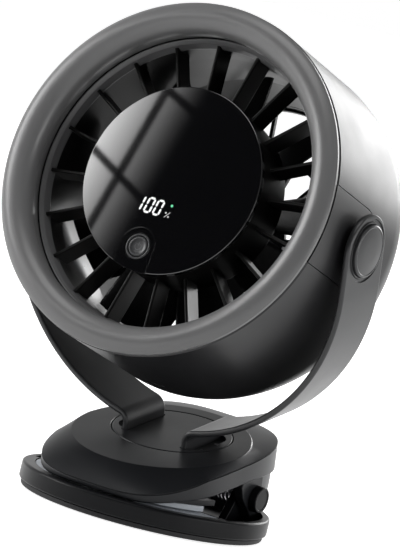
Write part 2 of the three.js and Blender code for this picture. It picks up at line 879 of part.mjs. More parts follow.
function swivelScrew() {
  return screw(swivelScrewRadius, swivelScrewHead, swivelScrewHeadHeight, swivelScrewLength)
    .translate([0, 0, retainerBottom - gap]);
}

// ---------------------------------------------------------------- yoke

// The arm from its foot in the turntable, over the knee and round the head to above the pivot
function armProfile() {
  const half = armThickness / 2;
  const archZ = armOuter + archFloor;
  const kneeX = footX + kneeRadius;
  const kneeZ = archZ - Math.sqrt((armMiddle + kneeRadius) ** 2 - kneeX ** 2);
  const meet = Math.atan2(archZ - kneeZ, -kneeX) / degrees;
  const top = pivotHeight + armHalfWidth;
  return outline([
    [footX + half, tabBottom],
    ...arcPoints(kneeX, kneeZ, kneeRadius - half, 180, meet, kneeSteps),
    ...arcPoints(0, archZ, armOuter, meet - 180, 0, archSteps),
    [armOuter, top],
    [armInner, top],
    ...arcPoints(0, archZ, armInner, 0, meet - 180, archSteps),
    ...arcPoints(kneeX, kneeZ, kneeRadius + half, meet, 180, kneeSteps),
    [footX - half, tabBottom],
  ]);
}

const onPivot = (solid) => toX(solid).translate([0, 0, pivotHeight]);

function yokeArm(side) {
  const strap = acrossY(armProfile(), -armHalfWidth, armHalfWidth);
  const below = block(4 * armOuter, 2 * armHalfWidth + over, 2 * pivotHeight, 0, 0, 0);
  const roundEnd = join(onPivot(disc(armHalfWidth, 0, 2 * armOuter, medium)), below);
  const tab = block(
    tabOuter - footX, 2 * tabHalfWidth, tabThickness,
    (tabOuter + footX) / 2, 0, (tabTop + tabBottom) / 2,
  );
  let arm = join(common(strap, roundEnd), tab);
  [-1, 1].forEach((end) => {
    const hole = disc(yokeScrewRadius + boltClearance, tabBottom - over, tabTop + over, screwSides);
    arm = cut(arm, hole.translate([yokeScrewX, end * yokeScrewSpread, 0]));
  });
  const face = armOuter + over;
  const grooveOuter = armGrooveInner + armGrooveWidth;
  return mirrored(cut(
    arm,
    onPivot(disc(pivotBoltRadius + boltClearance, armInner - over, face)),
    onPivot(disc(pivotCapRadius + gap, armOuter - pivotSeatDepth, face, medium)),
    onPivot(ring(armGrooveInner, grooveOuter, armOuter - armGrooveDepth, face, medium)),
  ), side);
}

function yokeScrew(side, end) {
  return screw(yokeScrewRadius, yokeScrewHead, yokeScrewHeadHeight, yokeScrewLength)
    .translate([side * yokeScrewX, end * yokeScrewSpread, tabBottom - gap]);
}

// ---------------------------------------------------------------- pivot

function pivotBolt(side) {
  const low = ductOuter + pivotBoltAir;
  const headLow = seatFace + gap;
  return mirrored(onPivot(turned([
    [0, low],
    [pivotBoltRadius, low],
    [pivotBoltRadius, headLow],
    [boltHeadRadius, headLow],
    [boltHeadRadius, headLow + boltHeadHeight],
    [0, headLow + boltHeadHeight],
  ], round)), side);
}

function pivotWasher(side) {
  const [low, high] = [bossFace + gap, armInner - gap];
  return mirrored(onPivot(ring(pivotBoltRadius + boltClearance, pivotBossRadius, low, high)), side);
}

function pivotCap(side) {
  const low = seatFace + gap;
  const high = low + pivotCapHeight;
  const hollow = boltHeadRadius + gap;
  const hollowTop = low + boltHeadHeight + gap;
  return mirrored(onPivot(turned([
    [hollow, low],
    [pivotCapRadius, low],
    [pivotCapRadius, high - pivotCapDome],
    [pivotCapRadius - pivotCapEdge, high - pivotCapDome / 2],
    [pivotCapRadius / 2, high - pivotCapDome / 8],
    [0, high],
    [0, hollowTop],
    [hollow, hollowTop],
  ], medium)), side);
}

// ---------------------------------------------------------------- drum, bezel and side panels

function drumShoulderPoints(inset) {
  const end = [drumBackRadius + drumBackBulge - inset, drumBack + drumBackEdge];
  return [[0, 0], ...drumShoulderCurve, [1, 1]].map(([inwards, back]) => [
    blend(drumRadius - inset, end[0], inwards),
    blend(drumShoulder, end[1], back),
  ]);
}

function drumOutside() {
  return turnedForward([
    [0, drumFront],
    [drumRadius, drumFront],
    ...drumShoulderPoints(0),
    [drumBackRadius, drumBack],
    [0, drumBack],
  ]);
}

function drumInside() {
  const [start, , bend] = drumShoulderPoints(drumWall);
  return turnedForward([
    [0, drumFront + over],
    [drumRadius - drumWall, drumFront + over],
    start,
    bend,
    [drumBackRadius - drumWall, rearSeat],
    [drumBackRadius - drumWall, drumBack - over],
    [0, drumBack - over],
  ]);
}

// The panel's outline in the side view: round behind the pivot, straight on to the bezel
function panelOutline(grow) {
  const reach = panelHalfHeight + grow;
  return outline([
    ...arcPoints(0, 0, reach, -90, 90, panelSteps),
    [-drumFront - over, reach],
    [-drumFront - over, -reach],
  ]);
}

function drumBand(inner, outer) {
  return turnedForward([
    [inner, drumFront + over],
    [outer, drumFront + over],
    [outer, drumShoulder],
    [inner, drumShoulder],
  ]);
}

function drumShell() {
  let shell = cut(drumOutside(), drumInside());
  const lip = turnedForward([
    [rearLipInner, rearSeat],
    [drumBackRadius, rearSeat],
    [drumBackRadius + drumBackBulge, rearSeat + rearLipDepth],
    [rearLipInner, rearSeat + rearLipDepth],
  ]);
  shell = join(shell, lip);
  sides.forEach(([, side]) => {
    const recess = common(
      drumBand(drumRadius - panelThickness - gap, drumRadius + over),
      acrossX(panelOutline(gap), drumRadius / 2, drumRadius + over),
    );
    const boss = toX(disc(pivotBossRadius, ductOuter + pivotBossAir, bossFace, medium));
    const bore = toX(disc(pivotBoltRadius + boltClearance, ductOuter, bossFace + over));
    shell = cut(join(cut(shell, mirrored(recess, side)), mirrored(boss, side)), mirrored(bore, side));
  });
  rearScrewPlaces().forEach(([x, z]) => {
    const low = rearSeat - over;
    const bore = toForward(disc(rearScrewRadius + screwBite, low, rearSeat + rearLipDepth - gap));
    shell = cut(shell, bore.translate([x, 0, z]));
  });
  const mouth = raised(socketOutline(gap), -drumRadius - over, 0);
  return cut(shell, mouth.translate([0, -socketPlace, 0]));
}

function sidePanel(side) {
  const skin = common(
    drumBand(drumRadius - panelThickness, drumRadius),
    block(2 * drumRadius, drumRadius, 2 * drumRadius, 0, drumRadius / 2 - drumFront, 0),
  );
  const panel = common(skin, acrossX(panelOutline(0), drumRadius / 2, drumRadius + over));
  const hole = toX(disc(pivotBossRadius + gap, drumRadius / 2, drumRadius + over, medium));
  return mirrored(cut(panel, hole), side);
}

function frontBezel() {
  const [from, to] = [bezelStartAngle, bezelEdgeAngle];
  const front = arcPoints(bezelCentreRadius, bezelCentre, bezelSectionRadius, from, to, bezelSteps);
  const edge = front[front.length - 1];
  const inner = bezelSectionRadius - bezelSkin;
  const behind = arcPoints(
    bezelCentreRadius, bezelCentre, inner,
    bezelBackAngle, bezelStartAngle, bezelBackSteps,
  );
  return turnedForward([
    [bezelInnerRadius, bezelInnerEdge],
    ...front,
    [edge[0], drumFront + gap],
    [bezelSpigotRadius, drumFront + gap],
    [bezelSpigotRadius, drumFront - bezelSpigotDepth],
    [bezelSpigotRadius - bezelSkin, drumFront - bezelSpigotDepth],
    ...behind,
    [bezelInnerRadius + bezelSkin, bezelInnerEdge],
  ]);
}

// ---------------------------------------------------------------- front grille

// Liner, vanes and cup are one moulding; three posts in the cup carry the board
function frontGrille() {
  const liner = turnedForward([
    [linerInner, linerBack],
    [linerOuter, linerBack],
    [linerOuter, bezelInnerEdge - gap],
    [linerOuter - linerEdge, bezelInnerEdge - gap],
    [linerInner, vaneFront - linerSlope],
  ]);
  const cup = turnedForward([
    [0, cupBack],
    [cupRadius, cupBack],
    [cupRadius, cupFront],
    [cupRadius - cupWall, cupFront],
    [cupRadius - cupWall, cupBack + cupFloor],
    [0, cupBack + cupFloor],
  ]);
  const [inner, outer] = [cupRadius - cupWall / 2, (linerInner + linerOuter) / 2];
  const vane = block(
    outer - inner, vaneDepth, vaneThickness,
    (inner + outer) / 2, -vaneFront + vaneDepth / 2, 0,
  );
  let grille = join(liner, cup);
  for (let i = 0; i < vaneCount; i += 1) {
    grille = join(grille, vane.rotate([0, -(vanePhase + (360 / vaneCount) * i), 0]));
  }
  boardPosts.forEach(([x, z]) => {
    const post = toForward(disc(boardPostRadius, cupBack, boardBack - gap)).translate([x, 0, z]);
    const tip = boardFront + gap - boardScrewLength - gap;
    const hole = toForward(disc(boardScrewRadius + screwBite, tip, boardBack + over, screwSides));
    grille = cut(join(grille, post), hole.translate([x, 0, z]));
  });
  return grille;
}

function rearScrewPlaces() {
  return rearScrewAngles.map((angle) => [
    rearScrewDistance * Math.cos(angle * degrees),
    rearScrewDistance * Math.sin(angle * degrees),
  ]);
}

// ---------------------------------------------------------------- display disc and controls

const onButton = (solid) => toForward(solid).translate([buttonX, 0, buttonZ]);

// The disc has a shallow tongue from its lower edge up round the button
function displayLens() {
  const plate = turnedForward([
    [0, lensBack],
    [lensRadius, lensBack],
    [lensRadius, lensFront - lensEdge],
    [lensRadius - lensEdge, lensFront],
    [0, lensFront],
  ]);
  const tongue = acrossY(outline([
    ...arcPoints(buttonX, buttonZ, tongueHalfWidth, 0, 180, tongueSteps),
    [buttonX - tongueHalfWidth, -lensRadius - over],
    [buttonX + tongueHalfWidth, -lensRadius - over],
  ]), -lensFront - over, -lensFront + tongueDepth);
  return cut(plate, tongue, onButton(disc(buttonRingRadius + gap, lensBack - over, lensFront + over)));
}

function buttonRing() {
  const inner = buttonRadius + buttonClearance;
  return onButton(ring(inner, buttonRingRadius, tongueFace - buttonRingHeight, tongueFace));
}

// The button's stem reaches back to the switch and stops short of it by its travel
function powerButton() {
  const face = tongueFace - buttonSink;
  const back = face - buttonThickness;
  const stemEnd = boardFront + gap + switchHeight + buttonTravel + gap;
  return onButton(turned([
    [0, stemEnd],
    [buttonStem, stemEnd],
    [buttonStem, back],
    [buttonRadius, back],
    [buttonRadius, face - buttonEdge],
    [buttonRadius - buttonEdge, face],
    [0, face - buttonDish],
  ], round));
}

function tactSwitch() {
  const low = boardFront + gap;
  return onButton(block(switchSize, switchSize, switchHeight, 0, 0, low + switchHeight / 2));
}

function controlBoard() {
  let board = toForward(disc(boardRadius, boardBack, boardFront, medium));
  const holeRadius = boardScrewRadius + boltClearance;
  boardPosts.forEach(([x, z]) => {
    const hole = toForward(disc(holeRadius, boardBack - over, boardFront + over, screwSides));
    board = cut(board, hole.translate([x, 0, z]));
  });
  return board;
}

function boardScrew([x, z]) {
  const upright = screw(boardScrewRadius, boardScrewHead, boardScrewHeadHeight, boardScrewLength);
  return toForward(upright.rotate([180, 0, 0])).translate([x, -boardFront - gap, z]);
}

function ledDisplay() {
  const low = boardFront + gap;
  return block(displayWidth, displayDepth, displayHeight, displayX, -low - displayDepth / 2, displayZ);
}

function batteryPack() {
  const low = cupBack + cupFloor + gap;
  const [side, , bottom] = boardPosts;
  const width = 2 * (side[0] - boardPostRadius - batterySideAir);
  const height = 2 * (-bottom[1] - boardPostRadius - batteryEndAir);
  const shape = roundedRectangle(width, height, batteryCorner);
  return acrossY(shape, -low - batteryDepth, -low);
}

// ---------------------------------------------------------------- duct, rear grille, charging socket

// Straight round the blades, then a cone in to the lip of the drum's back
function airDuct() {
  const cone = bladeBack - ductConeAir;
  const back = rearSeat + rearLipDepth + gap;
  return turnedForward([
    [rearLipInner, back],
    [rearLipInner + ductWall, back],
    [ductOuter, cone],
    [ductOuter, linerBack - gap],
    [ductInner, linerBack - gap],
    [ductInner, cone],
  ]);
}

function rearGrille() {
  const [low, high] = [drumBack, rearSeat - gap];
  const rimInner = rearLipInner - rearRimLap;
  const half = rearRingWidth / 2;
  const hoop = (middle) => ring(middle - half, middle + half, low, high, medium);
  const outer = drumBackRadius - drumWall - gap;
  const rim = ring(rimInner, outer, low, high, smooth);
  let grille = join(rim, disc(rearHubRadius, low, high), ...rearRingRadii.map(hoop));
  const from = rearHubRadius - over;
  const length = rimInner + over - from;
  for (let i = 0; i < rearSpokes; i += 1) {
    const spoke = block(length, rearSpokeWidth, high - low, from + length / 2, 0, (low + high) / 2);
    grille = join(grille, spoke.rotate([0, 0, (360 / rearSpokes) * (i + 1 / 2)]));
  }
  grille = toForward(grille);
  rearScrewPlaces().forEach(([x, z]) => {
    const hole = toForward(disc(rearScrewRadius + boltClearance, low - over, high + over, screwSides));
    grille = cut(grille, hole.translate([x, 0, z]));
  });
  return grille;
}

function rearScrew([x, z]) {
  const seat = drumBack - gap;
  return toForward(screw(rearScrewRadius, rearScrewHead, rearScrewHeadHeight, rearScrewLength))
    .translate([x, -seat, z]);
}

function socketOutline(grow) {
  return roundedRectangle(socketWidth + 2 * grow, socketHeight + 2 * grow, socketHeight / 2 + grow);
}

function usbSocket() {
  const mouth = -drumRadius + socketInset;
  const end = mouth + socketLength;
  const shell = raised(socketOutline(0), mouth, end);
  const hollow = raised(socketOutline(-socketWall), mouth - over, end - socketBack);
  const length = socketLength - socketInset;
  const tongue = block(socketTongueWidth, socketTongue, length, 0, 0, end - length / 2);
  return join(cut(shell, hollow), tongue).translate([0, -socketPlace, 0]);
}

function chargeBoard() {
  const middle = -drumRadius + socketInset + socketLength + gap + boardThickness / 2;
  return block(chargeBoardWidth, chargeBoardLength, boardThickness, 0, -socketPlace, middle);
}

// ---------------------------------------------------------------- motor and impeller

const motorFront = cupBack - gap;
const motorBaseBack = motorFront - motorBaseThickness;
const tubeOuter = tubeInner + tubeWall;
const statorInner = tubeOuter + gap;
const magnetInner = statorOuter + airGap;
const magnetOuter = magnetInner + magnetThickness;
const canInner = magnetOuter + gap;
const canOuter = canInner + canWall;
const hubInner = canOuter + gap;
const hubOuter = hubInner + impellerHubWall;
const tubeBack = statorBack - tubePastStator;
const canPlateFront = tubeBack - runningGap;
const canBack = canPlateFront - canWall;
const impellerPlateFront = canBack - gap;
const impellerBack = impellerPlateFront - impellerHubWall;

function motorBase() {
  return turnedForward([
    [0, motorFront],
    [motorBaseRadius, motorFront],
    [motorBaseRadius, motorBaseBack],
    [tubeOuter, motorBaseBack],
    [tubeOuter, tubeBack],
    [tubeInner, tubeBack],
    [tubeInner, motorBaseBack],
    [0, motorBaseBack],
  ], medium);
}

function stator() {
  const middle = (statorFront + statorBack) / 2;
  const depth = statorFront - statorBack;
  const [from, to] = [statorInner + statorCore / 2, statorOuter - statorShoe];
  const tooth = block(to - from, statorTooth, depth, (from + to) / 2, 0, middle);
  const shoe = block(statorShoe, statorShoeWidth, depth, to - statorShoe / 2, 0, middle);
  let solid = ring(statorInner, statorInner + statorCore, statorBack, statorFront, medium);
  for (let i = 0; i < statorSlots; i += 1) {
    const turn = [0, 0, (360 / statorSlots) * i];
    solid = join(solid, tooth.rotate(turn), shoe.rotate(turn));
  }
  return toForward(solid);
}

function bearing(front) {
  return toForward(ring(shaftRadius + gap, tubeInner - gap, front - bearingWidth, front));
}

function motorShaft() {
  return toForward(disc(shaftRadius, impellerBack, motorBaseBack - gap));
}

function rotorCan() {
  return turnedForward([
    [canInner, canFront],
    [canOuter, canFront],
    [canOuter, canBack],
    [shaftRadius + gap, canBack],
    [shaftRadius + gap, canPlateFront],
    [canInner, canPlateFront],
  ], medium);
}

function magnetRing() {
  const [low, high] = [statorBack - magnetOverhang, statorFront + magnetOverhang];
  return toForward(ring(magnetInner, magnetOuter, low, high, medium));
}

// A thin plate that turns about the shaft as it runs back, less at the tip than at the hub
function blade() {
  const root = hubOuter - impellerHubWall / 2;
  const rings = [];
  for (let i = 0; i <= bladeStations; i += 1) {
    const share = i / bladeStations;
    const radius = blend(root, bladeTip, share);
    const sweep = blend(bladeSweepRoot, bladeSweepTip, share) * degrees;
    const side = (k, sign) => {
      const back = k / bladeSteps;
      const turn = sweep * (back - 1 / 2) + (sign * bladeThickness) / 2 / radius;
      return [radius * Math.cos(turn), radius * Math.sin(turn), blend(bladeFront, bladeBack, back)];
    };
    const points = [];
    for (let k = 0; k <= bladeSteps; k += 1) points.push(side(k, -1));
    for (let k = bladeSteps; k >= 0; k -= 1) points.push(side(k, 1));
    rings.push(points);
  }
  return lofted(rings);
}

function impeller() {
  let wheel = turned([
    [hubInner, impellerFront],
    [hubOuter, impellerFront],
    [hubOuter, impellerBack],
    [shaftRadius + gap, impellerBack],
    [shaftRadius + gap, impellerPlateFront],
    [hubInner, impellerPlateFront],
  ], medium);
  for (let i = 0; i < bladeCount; i += 1) {
    wheel = join(wheel, blade().rotate([0, 0, bladePhase + (360 / bladeCount) * i]));
  }
  return toForward(wheel);
}

// ---------------------------------------------------------------- assembly

place(fan, 'lower_jaw', lowerJaw(), finish.clipBlack);
place(fan, 'sole', sole(), finish.rubber);
place(fan, 'lower_jaw_pad', lowerPad(), finish.padGrey);
place(fan, 'hinge_pin', hingePin(), finish.steel);
sides.forEach(([word, side]) => {
  place(fan, `hinge_cap_${word}`, hingeCap(side), finish.clipBlack);
  place(fan, `torsion_spring_${word}`, torsionSpring(side), finish.steel);
});

place(jawFrame, 'upper_jaw', upperJaw(), finish.clipBlack);
place(jawFrame, 'upper_jaw_pad', upperPad(), finish.padGrey);

place(jawFrame, 'turntable', turntable(), finish.clipBlack);
place(jawFrame, 'friction_washer', frictionWasher(), finish.rubber);
place(jawFrame, 'swivel_retainer', swivelRetainer(), finish.steel);
place(jawFrame, 'swivel_screw', swivelScrew(), finish.steel);
sides.forEach(([word, side]) => {
  place(jawFrame, `yoke_arm_${word}`, yokeArm(side), finish.armGrey);
  place(jawFrame, `yoke_screw_${word}_front`, yokeScrew(side, -1), finish.steel);
  place(jawFrame, `yoke_screw_${word}_back`, yokeScrew(side, 1), finish.steel);
  place(jawFrame, `pivot_bolt_${word}`, pivotBolt(side), finish.steel);
  place(jawFrame, `pivot_washer_${word}`, pivotWasher(side), finish.rubber);
  place(jawFrame, `pivot_cap_${word}`, pivotCap(side), finish.armGrey);
});

place(headFrame, 'drum_shell', drumShell(), finish.shellBlack);
sides.forEach(([word, side]) => {
  place(headFrame, `side_panel_${word}`, sidePanel(side), finish.shellBlack);
});
place(headFrame, 'front_bezel', frontBezel(), finish.shellGrey);
place(headFrame, 'front_grille', frontGrille(), finish.innerBlack);
place(headFrame, 'air_duct', airDuct(), finish.innerBlack);
place(headFrame, 'rear_grille', rearGrille(), finish.innerBlack);
rearScrewPlaces().forEach((spot, i) => {
  place(headFrame, `rear_screw_${i + 1}`, rearScrew(spot), finish.steel);
});
place(headFrame, 'usb_c_socket', usbSocket(), finish.steel);
place(headFrame, 'charge_board', chargeBoard(), finish.board);

place(headFrame, 'display_lens', displayLens(), finish.glossBlack);
place(headFrame, 'button_ring', buttonRing(), finish.steel);
place(headFrame, 'power_button', powerButton(), finish.glossBlack);
place(headFrame, 'tact_switch', tactSwitch(), finish.innerBlack);
place(headFrame, 'control_board', controlBoard(), finish.board);
boardPosts.forEach((spot, i) => {
  place(headFrame, `board_screw_${i + 1}`, boardScrew(spot), finish.steel);
});
place(headFrame, 'led_display', ledDisplay(), finish.display);
place(headFrame, 'battery_pack', batteryPack(), finish.battery);

place(headFrame, 'motor_base', motorBase(), finish.steel);
place(headFrame, 'stator', stator(), finish.copper);
place(headFrame, 'bearing_front', bearing(motorBaseBack - gap), finish.steel);
place(headFrame, 'bearing_back', bearing(tubeBack + bearingWidth + gap), finish.steel);
place(headFrame, 'motor_shaft', motorShaft(), finish.steel);
place(headFrame, 'rotor_can', rotorCan(), finish.steel);
place(headFrame, 'magnet_ring', magnetRing(), finish.magnet);
place(headFrame, 'impeller', impeller(), finish.innerBlack);

export default fan;
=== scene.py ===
# A small battery clip fan in satin black and grey plastic, dressed for a close photograph.
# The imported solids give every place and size; each section below makes one part of the fan.
import math

import bmesh
import bpy
from mathutils import Matrix, Vector


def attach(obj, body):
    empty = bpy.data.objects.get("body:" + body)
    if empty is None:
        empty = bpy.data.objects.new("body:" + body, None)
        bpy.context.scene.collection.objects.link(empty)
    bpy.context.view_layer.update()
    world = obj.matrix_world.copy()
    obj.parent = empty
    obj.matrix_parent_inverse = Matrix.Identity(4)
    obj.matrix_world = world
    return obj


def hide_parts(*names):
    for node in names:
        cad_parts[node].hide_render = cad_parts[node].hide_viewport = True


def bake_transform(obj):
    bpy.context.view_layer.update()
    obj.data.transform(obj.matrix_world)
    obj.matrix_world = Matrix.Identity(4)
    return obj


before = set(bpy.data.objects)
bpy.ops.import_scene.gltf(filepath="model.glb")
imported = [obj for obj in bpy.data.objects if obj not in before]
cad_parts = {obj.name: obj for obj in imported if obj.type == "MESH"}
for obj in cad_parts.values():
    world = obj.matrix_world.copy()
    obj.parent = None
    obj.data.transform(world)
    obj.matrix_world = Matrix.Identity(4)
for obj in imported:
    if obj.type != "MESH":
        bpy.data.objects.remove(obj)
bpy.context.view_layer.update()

room = bpy.context.scene
room.view_settings.view_transform = "Standard"


# The camera has a long lens and looks from a little right of the fan's front, level with its head.
# Its three axes are written out so that the fan lies in the picture as it was photographed.
camera_lens = bpy.data.cameras.new("camera")
camera_lens.lens = 294.963
camera_lens.sensor_width = 36
camera_lens.clip_end = 20
camera = bpy.data.objects.new("camera", camera_lens)
room.collection.objects.link(camera)
camera_right = (0.83665545, 0.49175887, 0.24120711)
camera_up = (-0.25515663, -0.03975064, 0.96608228)
camera_back = (0.48466767, -0.8698236, 0.09221795)
camera_place = Matrix.Translation((0.852583, -1.530078, 0.258266))
camera.matrix_world = camera_place @ Matrix((camera_right, camera_up, camera_back)).transposed().to_4x4()
room.camera = camera


# The sole is a disc of black rubber under the clip, with grooves turned in its underside for grip.
# Two pads of softer grey rubber line the clip's mouth. Lengths are in millimetres, and each
# piece is drawn in the plane of the part that carries it.
on_sole = Matrix.Scale(0.001, 4)


def rounded(corners, radius, closed=True):
    """An outline whose corners are turned by a radius; a corner may bring its own."""
    points = []
    for i, corner in enumerate(corners):
        here = Vector(corner[:2])
        if not closed and i in (0, len(corners) - 1):
            points.append(tuple(here))
            continue
        before = Vector(corners[i - 1][:2]) - here
        after = Vector(corners[(i + 1) % len(corners)][:2]) - here
        bend = before.angle(after, math.pi)
        turn = corner[2] if len(corner) > 2 else radius
        if turn <= 0 or math.pi - bend < 0.03:
            points.append(tuple(here))
            continue
        reach = min(turn / math.tan(bend / 2), 0.49 * before.length, 0.49 * after.length)
        turn = reach * math.tan(bend / 2)
        middle = here + (before.normalized() + after.normalized()).normalized() * turn / math.sin(bend / 2)
        first = here + before.normalized() * reach - middle
        last = here + after.normalized() * reach - middle
        steps = max(2, round((math.pi - bend) / 0.3))
        whole = math.atan2(first.x * last.y - first.y * last.x, first.dot(last))
        for k in range(steps + 1):
            angle = whole * k / steps
            c, s = math.cos(angle), math.sin(angle)
            points.append((middle.x + c * first.x - s * first.y, middle.y + s * first.x + c * first.y))
    return points


def piece(name, points, faces, place, sharp=32):
    """A closed mesh in the fan's own frame, smooth except along its sharp edges."""
    mesh = bpy.data.meshes.new(name)
    mesh.from_pydata([tuple(p) for p in points], [], faces)
    mesh.transform(place)
    shape = bmesh.new()
    shape.from_mesh(mesh)
    bmesh.ops.remove_doubles(shape, verts=shape.verts, dist=1e-7)
    bmesh.ops.recalc_face_normals(shape, faces=shape.faces)
    shape.to_mesh(mesh)
    shape.free()
    mesh.shade_smooth()
    mesh.set_sharp_from_angle(angle=math.radians(sharp))
    thing = bpy.data.objects.new(name, mesh)
    room.collection.objects.link(thing)
    return thing


def turned(name, outline, place, sides=160, sharp=32):
    """An outline of (radius, height) turned once round the height axis."""
    points, rows, faces = [], [], []
    for radius, height in outline:
        count = sides if radius > 1e-6 else 1
        rows.append([len(points) + k for k in range(count)])
        for k in range(count):
            angle = 2 * math.pi * k / sides
            points.append((radius * math.cos(angle), radius * math.sin(angle), height))
    open_ended = outline[0][0] < 1e-6 and outline[-1][0] < 1e-6
    for a, b in zip(rows, rows[1:] + ([] if open_ended else rows[:1])):
        for k in range(sides):
            corners = (a[k % len(a)], a[(k + 1) % len(a)], b[(k + 1) % len(b)], b[k % len(b)])
            corners = tuple(dict.fromkeys(corners))
            if len(corners) > 2:
                faces.append(corners)
    return piece(name, points, faces, place, sharp)


def lofted(name, rings, place, wrap=False, sharp=32):
    """A skin over rings of points; the ends are capped, or joined to each other."""
    count = len(rings[0])
    points = [p for ring in rings for p in ring]
    faces = []
    for i in range(len(rings) if wrap else len(rings) - 1):
        a, b = i * count, (i + 1) % len(rings) * count
        faces += [(a + k, a + (k + 1) % count, b + (k + 1) % count, b + k) for k in range(count)]
    if not wrap:
        faces.append(tuple(range(count)))
        faces.append(tuple(len(points) - count + k for k in range(count)))
    return piece(name, points, faces, place, sharp)


def slab(name, outline, low, high, place, edge=0.0, sharp=32):
    """A flat plate with an outline of (x, y), its two rims rounded by edge."""
    count = len(outline)
    area = sum(a[0] * b[1] - b[0] * a[1] for a, b in zip([outline[-1]] + outline[:-1], outline))
    outwards = []
    for k in range(count):
        along = Vector(outline[(k + 1) % count]) - Vector(outline[k - 1])
        along.normalize()
        outwards.append(Vector((along.y, -along.x)) * (1 if area > 0 else -1))
    levels = [(low, 0), (high, 0)]
    if edge:
        lip = [(edge * (1 - math.sin(t)), edge * (1 - math.cos(t))) for t in (0, 0.52, 1.05, math.pi / 2)]
        levels = [(low + lift, inset) for inset, lift in lip]
        levels += [(high - lift, inset) for inset, lift in reversed(lip)]
    rings = []
    for height, inset in levels:
        rings.append([(x - inset * n.x, y - inset * n.y, height) for (x, y), n in zip(outline, outwards)])
    return lofted(name, rings, place, sharp=sharp)


def fitted(thing, tool, how, sharp=32):
    """Cuts a tool out of a piece (DIFFERENCE), adds it (UNION) or keeps what both share (INTERSECT)."""
    step = thing.modifiers.new("fit", "BOOLEAN")
    step.operation = how
    step.object = tool
    step.solver = "EXACT"
    bpy.context.view_layer.update()
    seen = thing.evaluated_get(bpy.context.evaluated_depsgraph_get())
    result = bpy.data.meshes.new_from_object(seen)
    thing.modifiers.clear()
    thing.data = result
    result.shade_smooth()
    result.set_sharp_from_angle(angle=math.radians(sharp))
    bpy.data.objects.remove(tool)
    return thing


def arc(x, y, radius, start, end, steps):
    """Points along an arc between two angles in degrees."""
    angles = [math.radians(start + (end - start) * k / steps) for k in range(steps + 1)]
    return [(x + radius * math.cos(t), y + radius * math.sin(t)) for t in angles]


def moulded(name, colour, roughness, grain=0.0006, depth=0.00001, mottle=0.12, shine=0.5, rough_range=0.06,
            metallic=0.0):
    """A plastic or rubber: fine grain in its skin, and a colour and gloss that wander a little."""
    finish = bpy.data.materials.new(name)
    finish.use_nodes = True
    nodes, links = finish.node_tree.nodes, finish.node_tree.links
    shader = nodes["Principled BSDF"]
    shader.inputs["Specular IOR Level"].default_value = shine
    shader.inputs["Metallic"].default_value = metallic
    place = nodes.new("ShaderNodeTexCoord")
    grains = nodes.new("ShaderNodeTexNoise")
    grains.inputs["Scale"].default_value = 1 / grain
    grains.inputs["Detail"].default_value = 3
    links.new(place.outputs["Object"], grains.inputs["Vector"])
    raised = nodes.new("ShaderNodeBump")
    raised.inputs["Distance"].default_value = depth
    links.new(grains.outputs["Fac"], raised.inputs["Height"])
    links.new(raised.outputs["Normal"], shader.inputs["Normal"])
    clouds = nodes.new("ShaderNodeTexNoise")
    clouds.inputs["Scale"].default_value = 60
    clouds.inputs["Detail"].default_value = 4
    links.new(place.outputs["Object"], clouds.inputs["Vector"])
    tint = nodes.new("ShaderNodeMix")
    tint.data_type = "RGBA"
    tint.inputs["A"].default_value = (*[c * (1 - mottle) for c in colour], 1)
    tint.inputs["B"].default_value = (*[c * (1 + mottle) for c in colour], 1)
    links.new(clouds.outputs["Fac"], tint.inputs["Factor"])
    links.new(tint.outputs["Result"], shader.inputs["Base Color"])
    gloss = nodes.new("ShaderNodeMapRange")
    gloss.inputs["To Min"].default_value = roughness - rough_range
    gloss.inputs["To Max"].default_value = roughness + rough_range
    links.new(clouds.outputs["Fac"], gloss.inputs["Value"])
    links.new(gloss.outputs["Result"], shader.inputs["Roughness"])
    return finish


def dress(thing, finish, body=None, replaces=()):
    """Gives a piece its finish, its body and the solids that it stands for."""
    thing.data.materials.clear()
    thing.data.materials.append(finish)
    flats = thing.modifiers.new("flats", "WEIGHTED_NORMAL")
    flats.keep_sharp = True
    if body:
        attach(thing, body)
    if replaces:
        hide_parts(*replaces)
    return thing


def softened(thing, width, segments=2):
    """Eases the sharp edges of a piece by a small bevel."""
    ease = thing.modifiers.new("edge", "BEVEL")
    ease.width = width
    ease.segments = segments
    ease.limit_method = "ANGLE"
    ease.angle_limit = math.radians(40)


def carried_over(names, finish, edge=0.0002):
    """A solid whose shape is right keeps it, with its edges eased and a finish of its own."""
    for name in names:
        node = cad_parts[name]
        node.data.materials.clear()
        node.data.materials.append(finish)
        node.data.shade_smooth()
        node.data.set_sharp_from_angle(angle=math.radians(32))
        softened(node, edge)
        flats = node.modifiers.new("flats", "WEIGHTED_NORMAL")
        flats.keep_sharp = True


rubber = moulded("rubber", (0.011, 0.011, 0.012), 0.62, grain=0.0004, depth=0.00003, mottle=0.2, shine=0.35)
pad_rubber = moulded("pad_rubber", (0.42, 0.45, 0.49), 0.5, grain=0.0005, depth=0.00003, mottle=0.06)

sole_outline = [(0, 0)]
for groove in (10, 20, 30, 40):
    sole_outline += [(groove, 0), (groove + 0.5, 0.7), (groove + 1.5, 0.7), (groove + 2, 0)]
sole_outline += [(48.8, 0, 0.7), (48.8, 2, 0.2), (0, 2)]
sole = turned("sole_disc", rounded(sole_outline, 0.15, closed=False), on_sole, 200)
dress(sole, rubber, "base", ["sole"])


def ribbed(pad, rows, pad_radius, pad_middle, low, high):
    """Cuts straight grooves across a pad, 3 mm apart, that stop short of its edge."""
    for row in range(rows):
        groove_y = -17 - 3 * row
        reach = math.sqrt(max(25, pad_radius ** 2 - (groove_y - pad_middle) ** 2))
        groove = [(-reach, groove_y - 0.5), (reach, groove_y - 0.5), (reach, groove_y + 0.5), (-reach, groove_y + 0.5)]
        fitted(pad, slab("groove", rounded(groove, 0.45), low, high, on_sole), "DIFFERENCE")


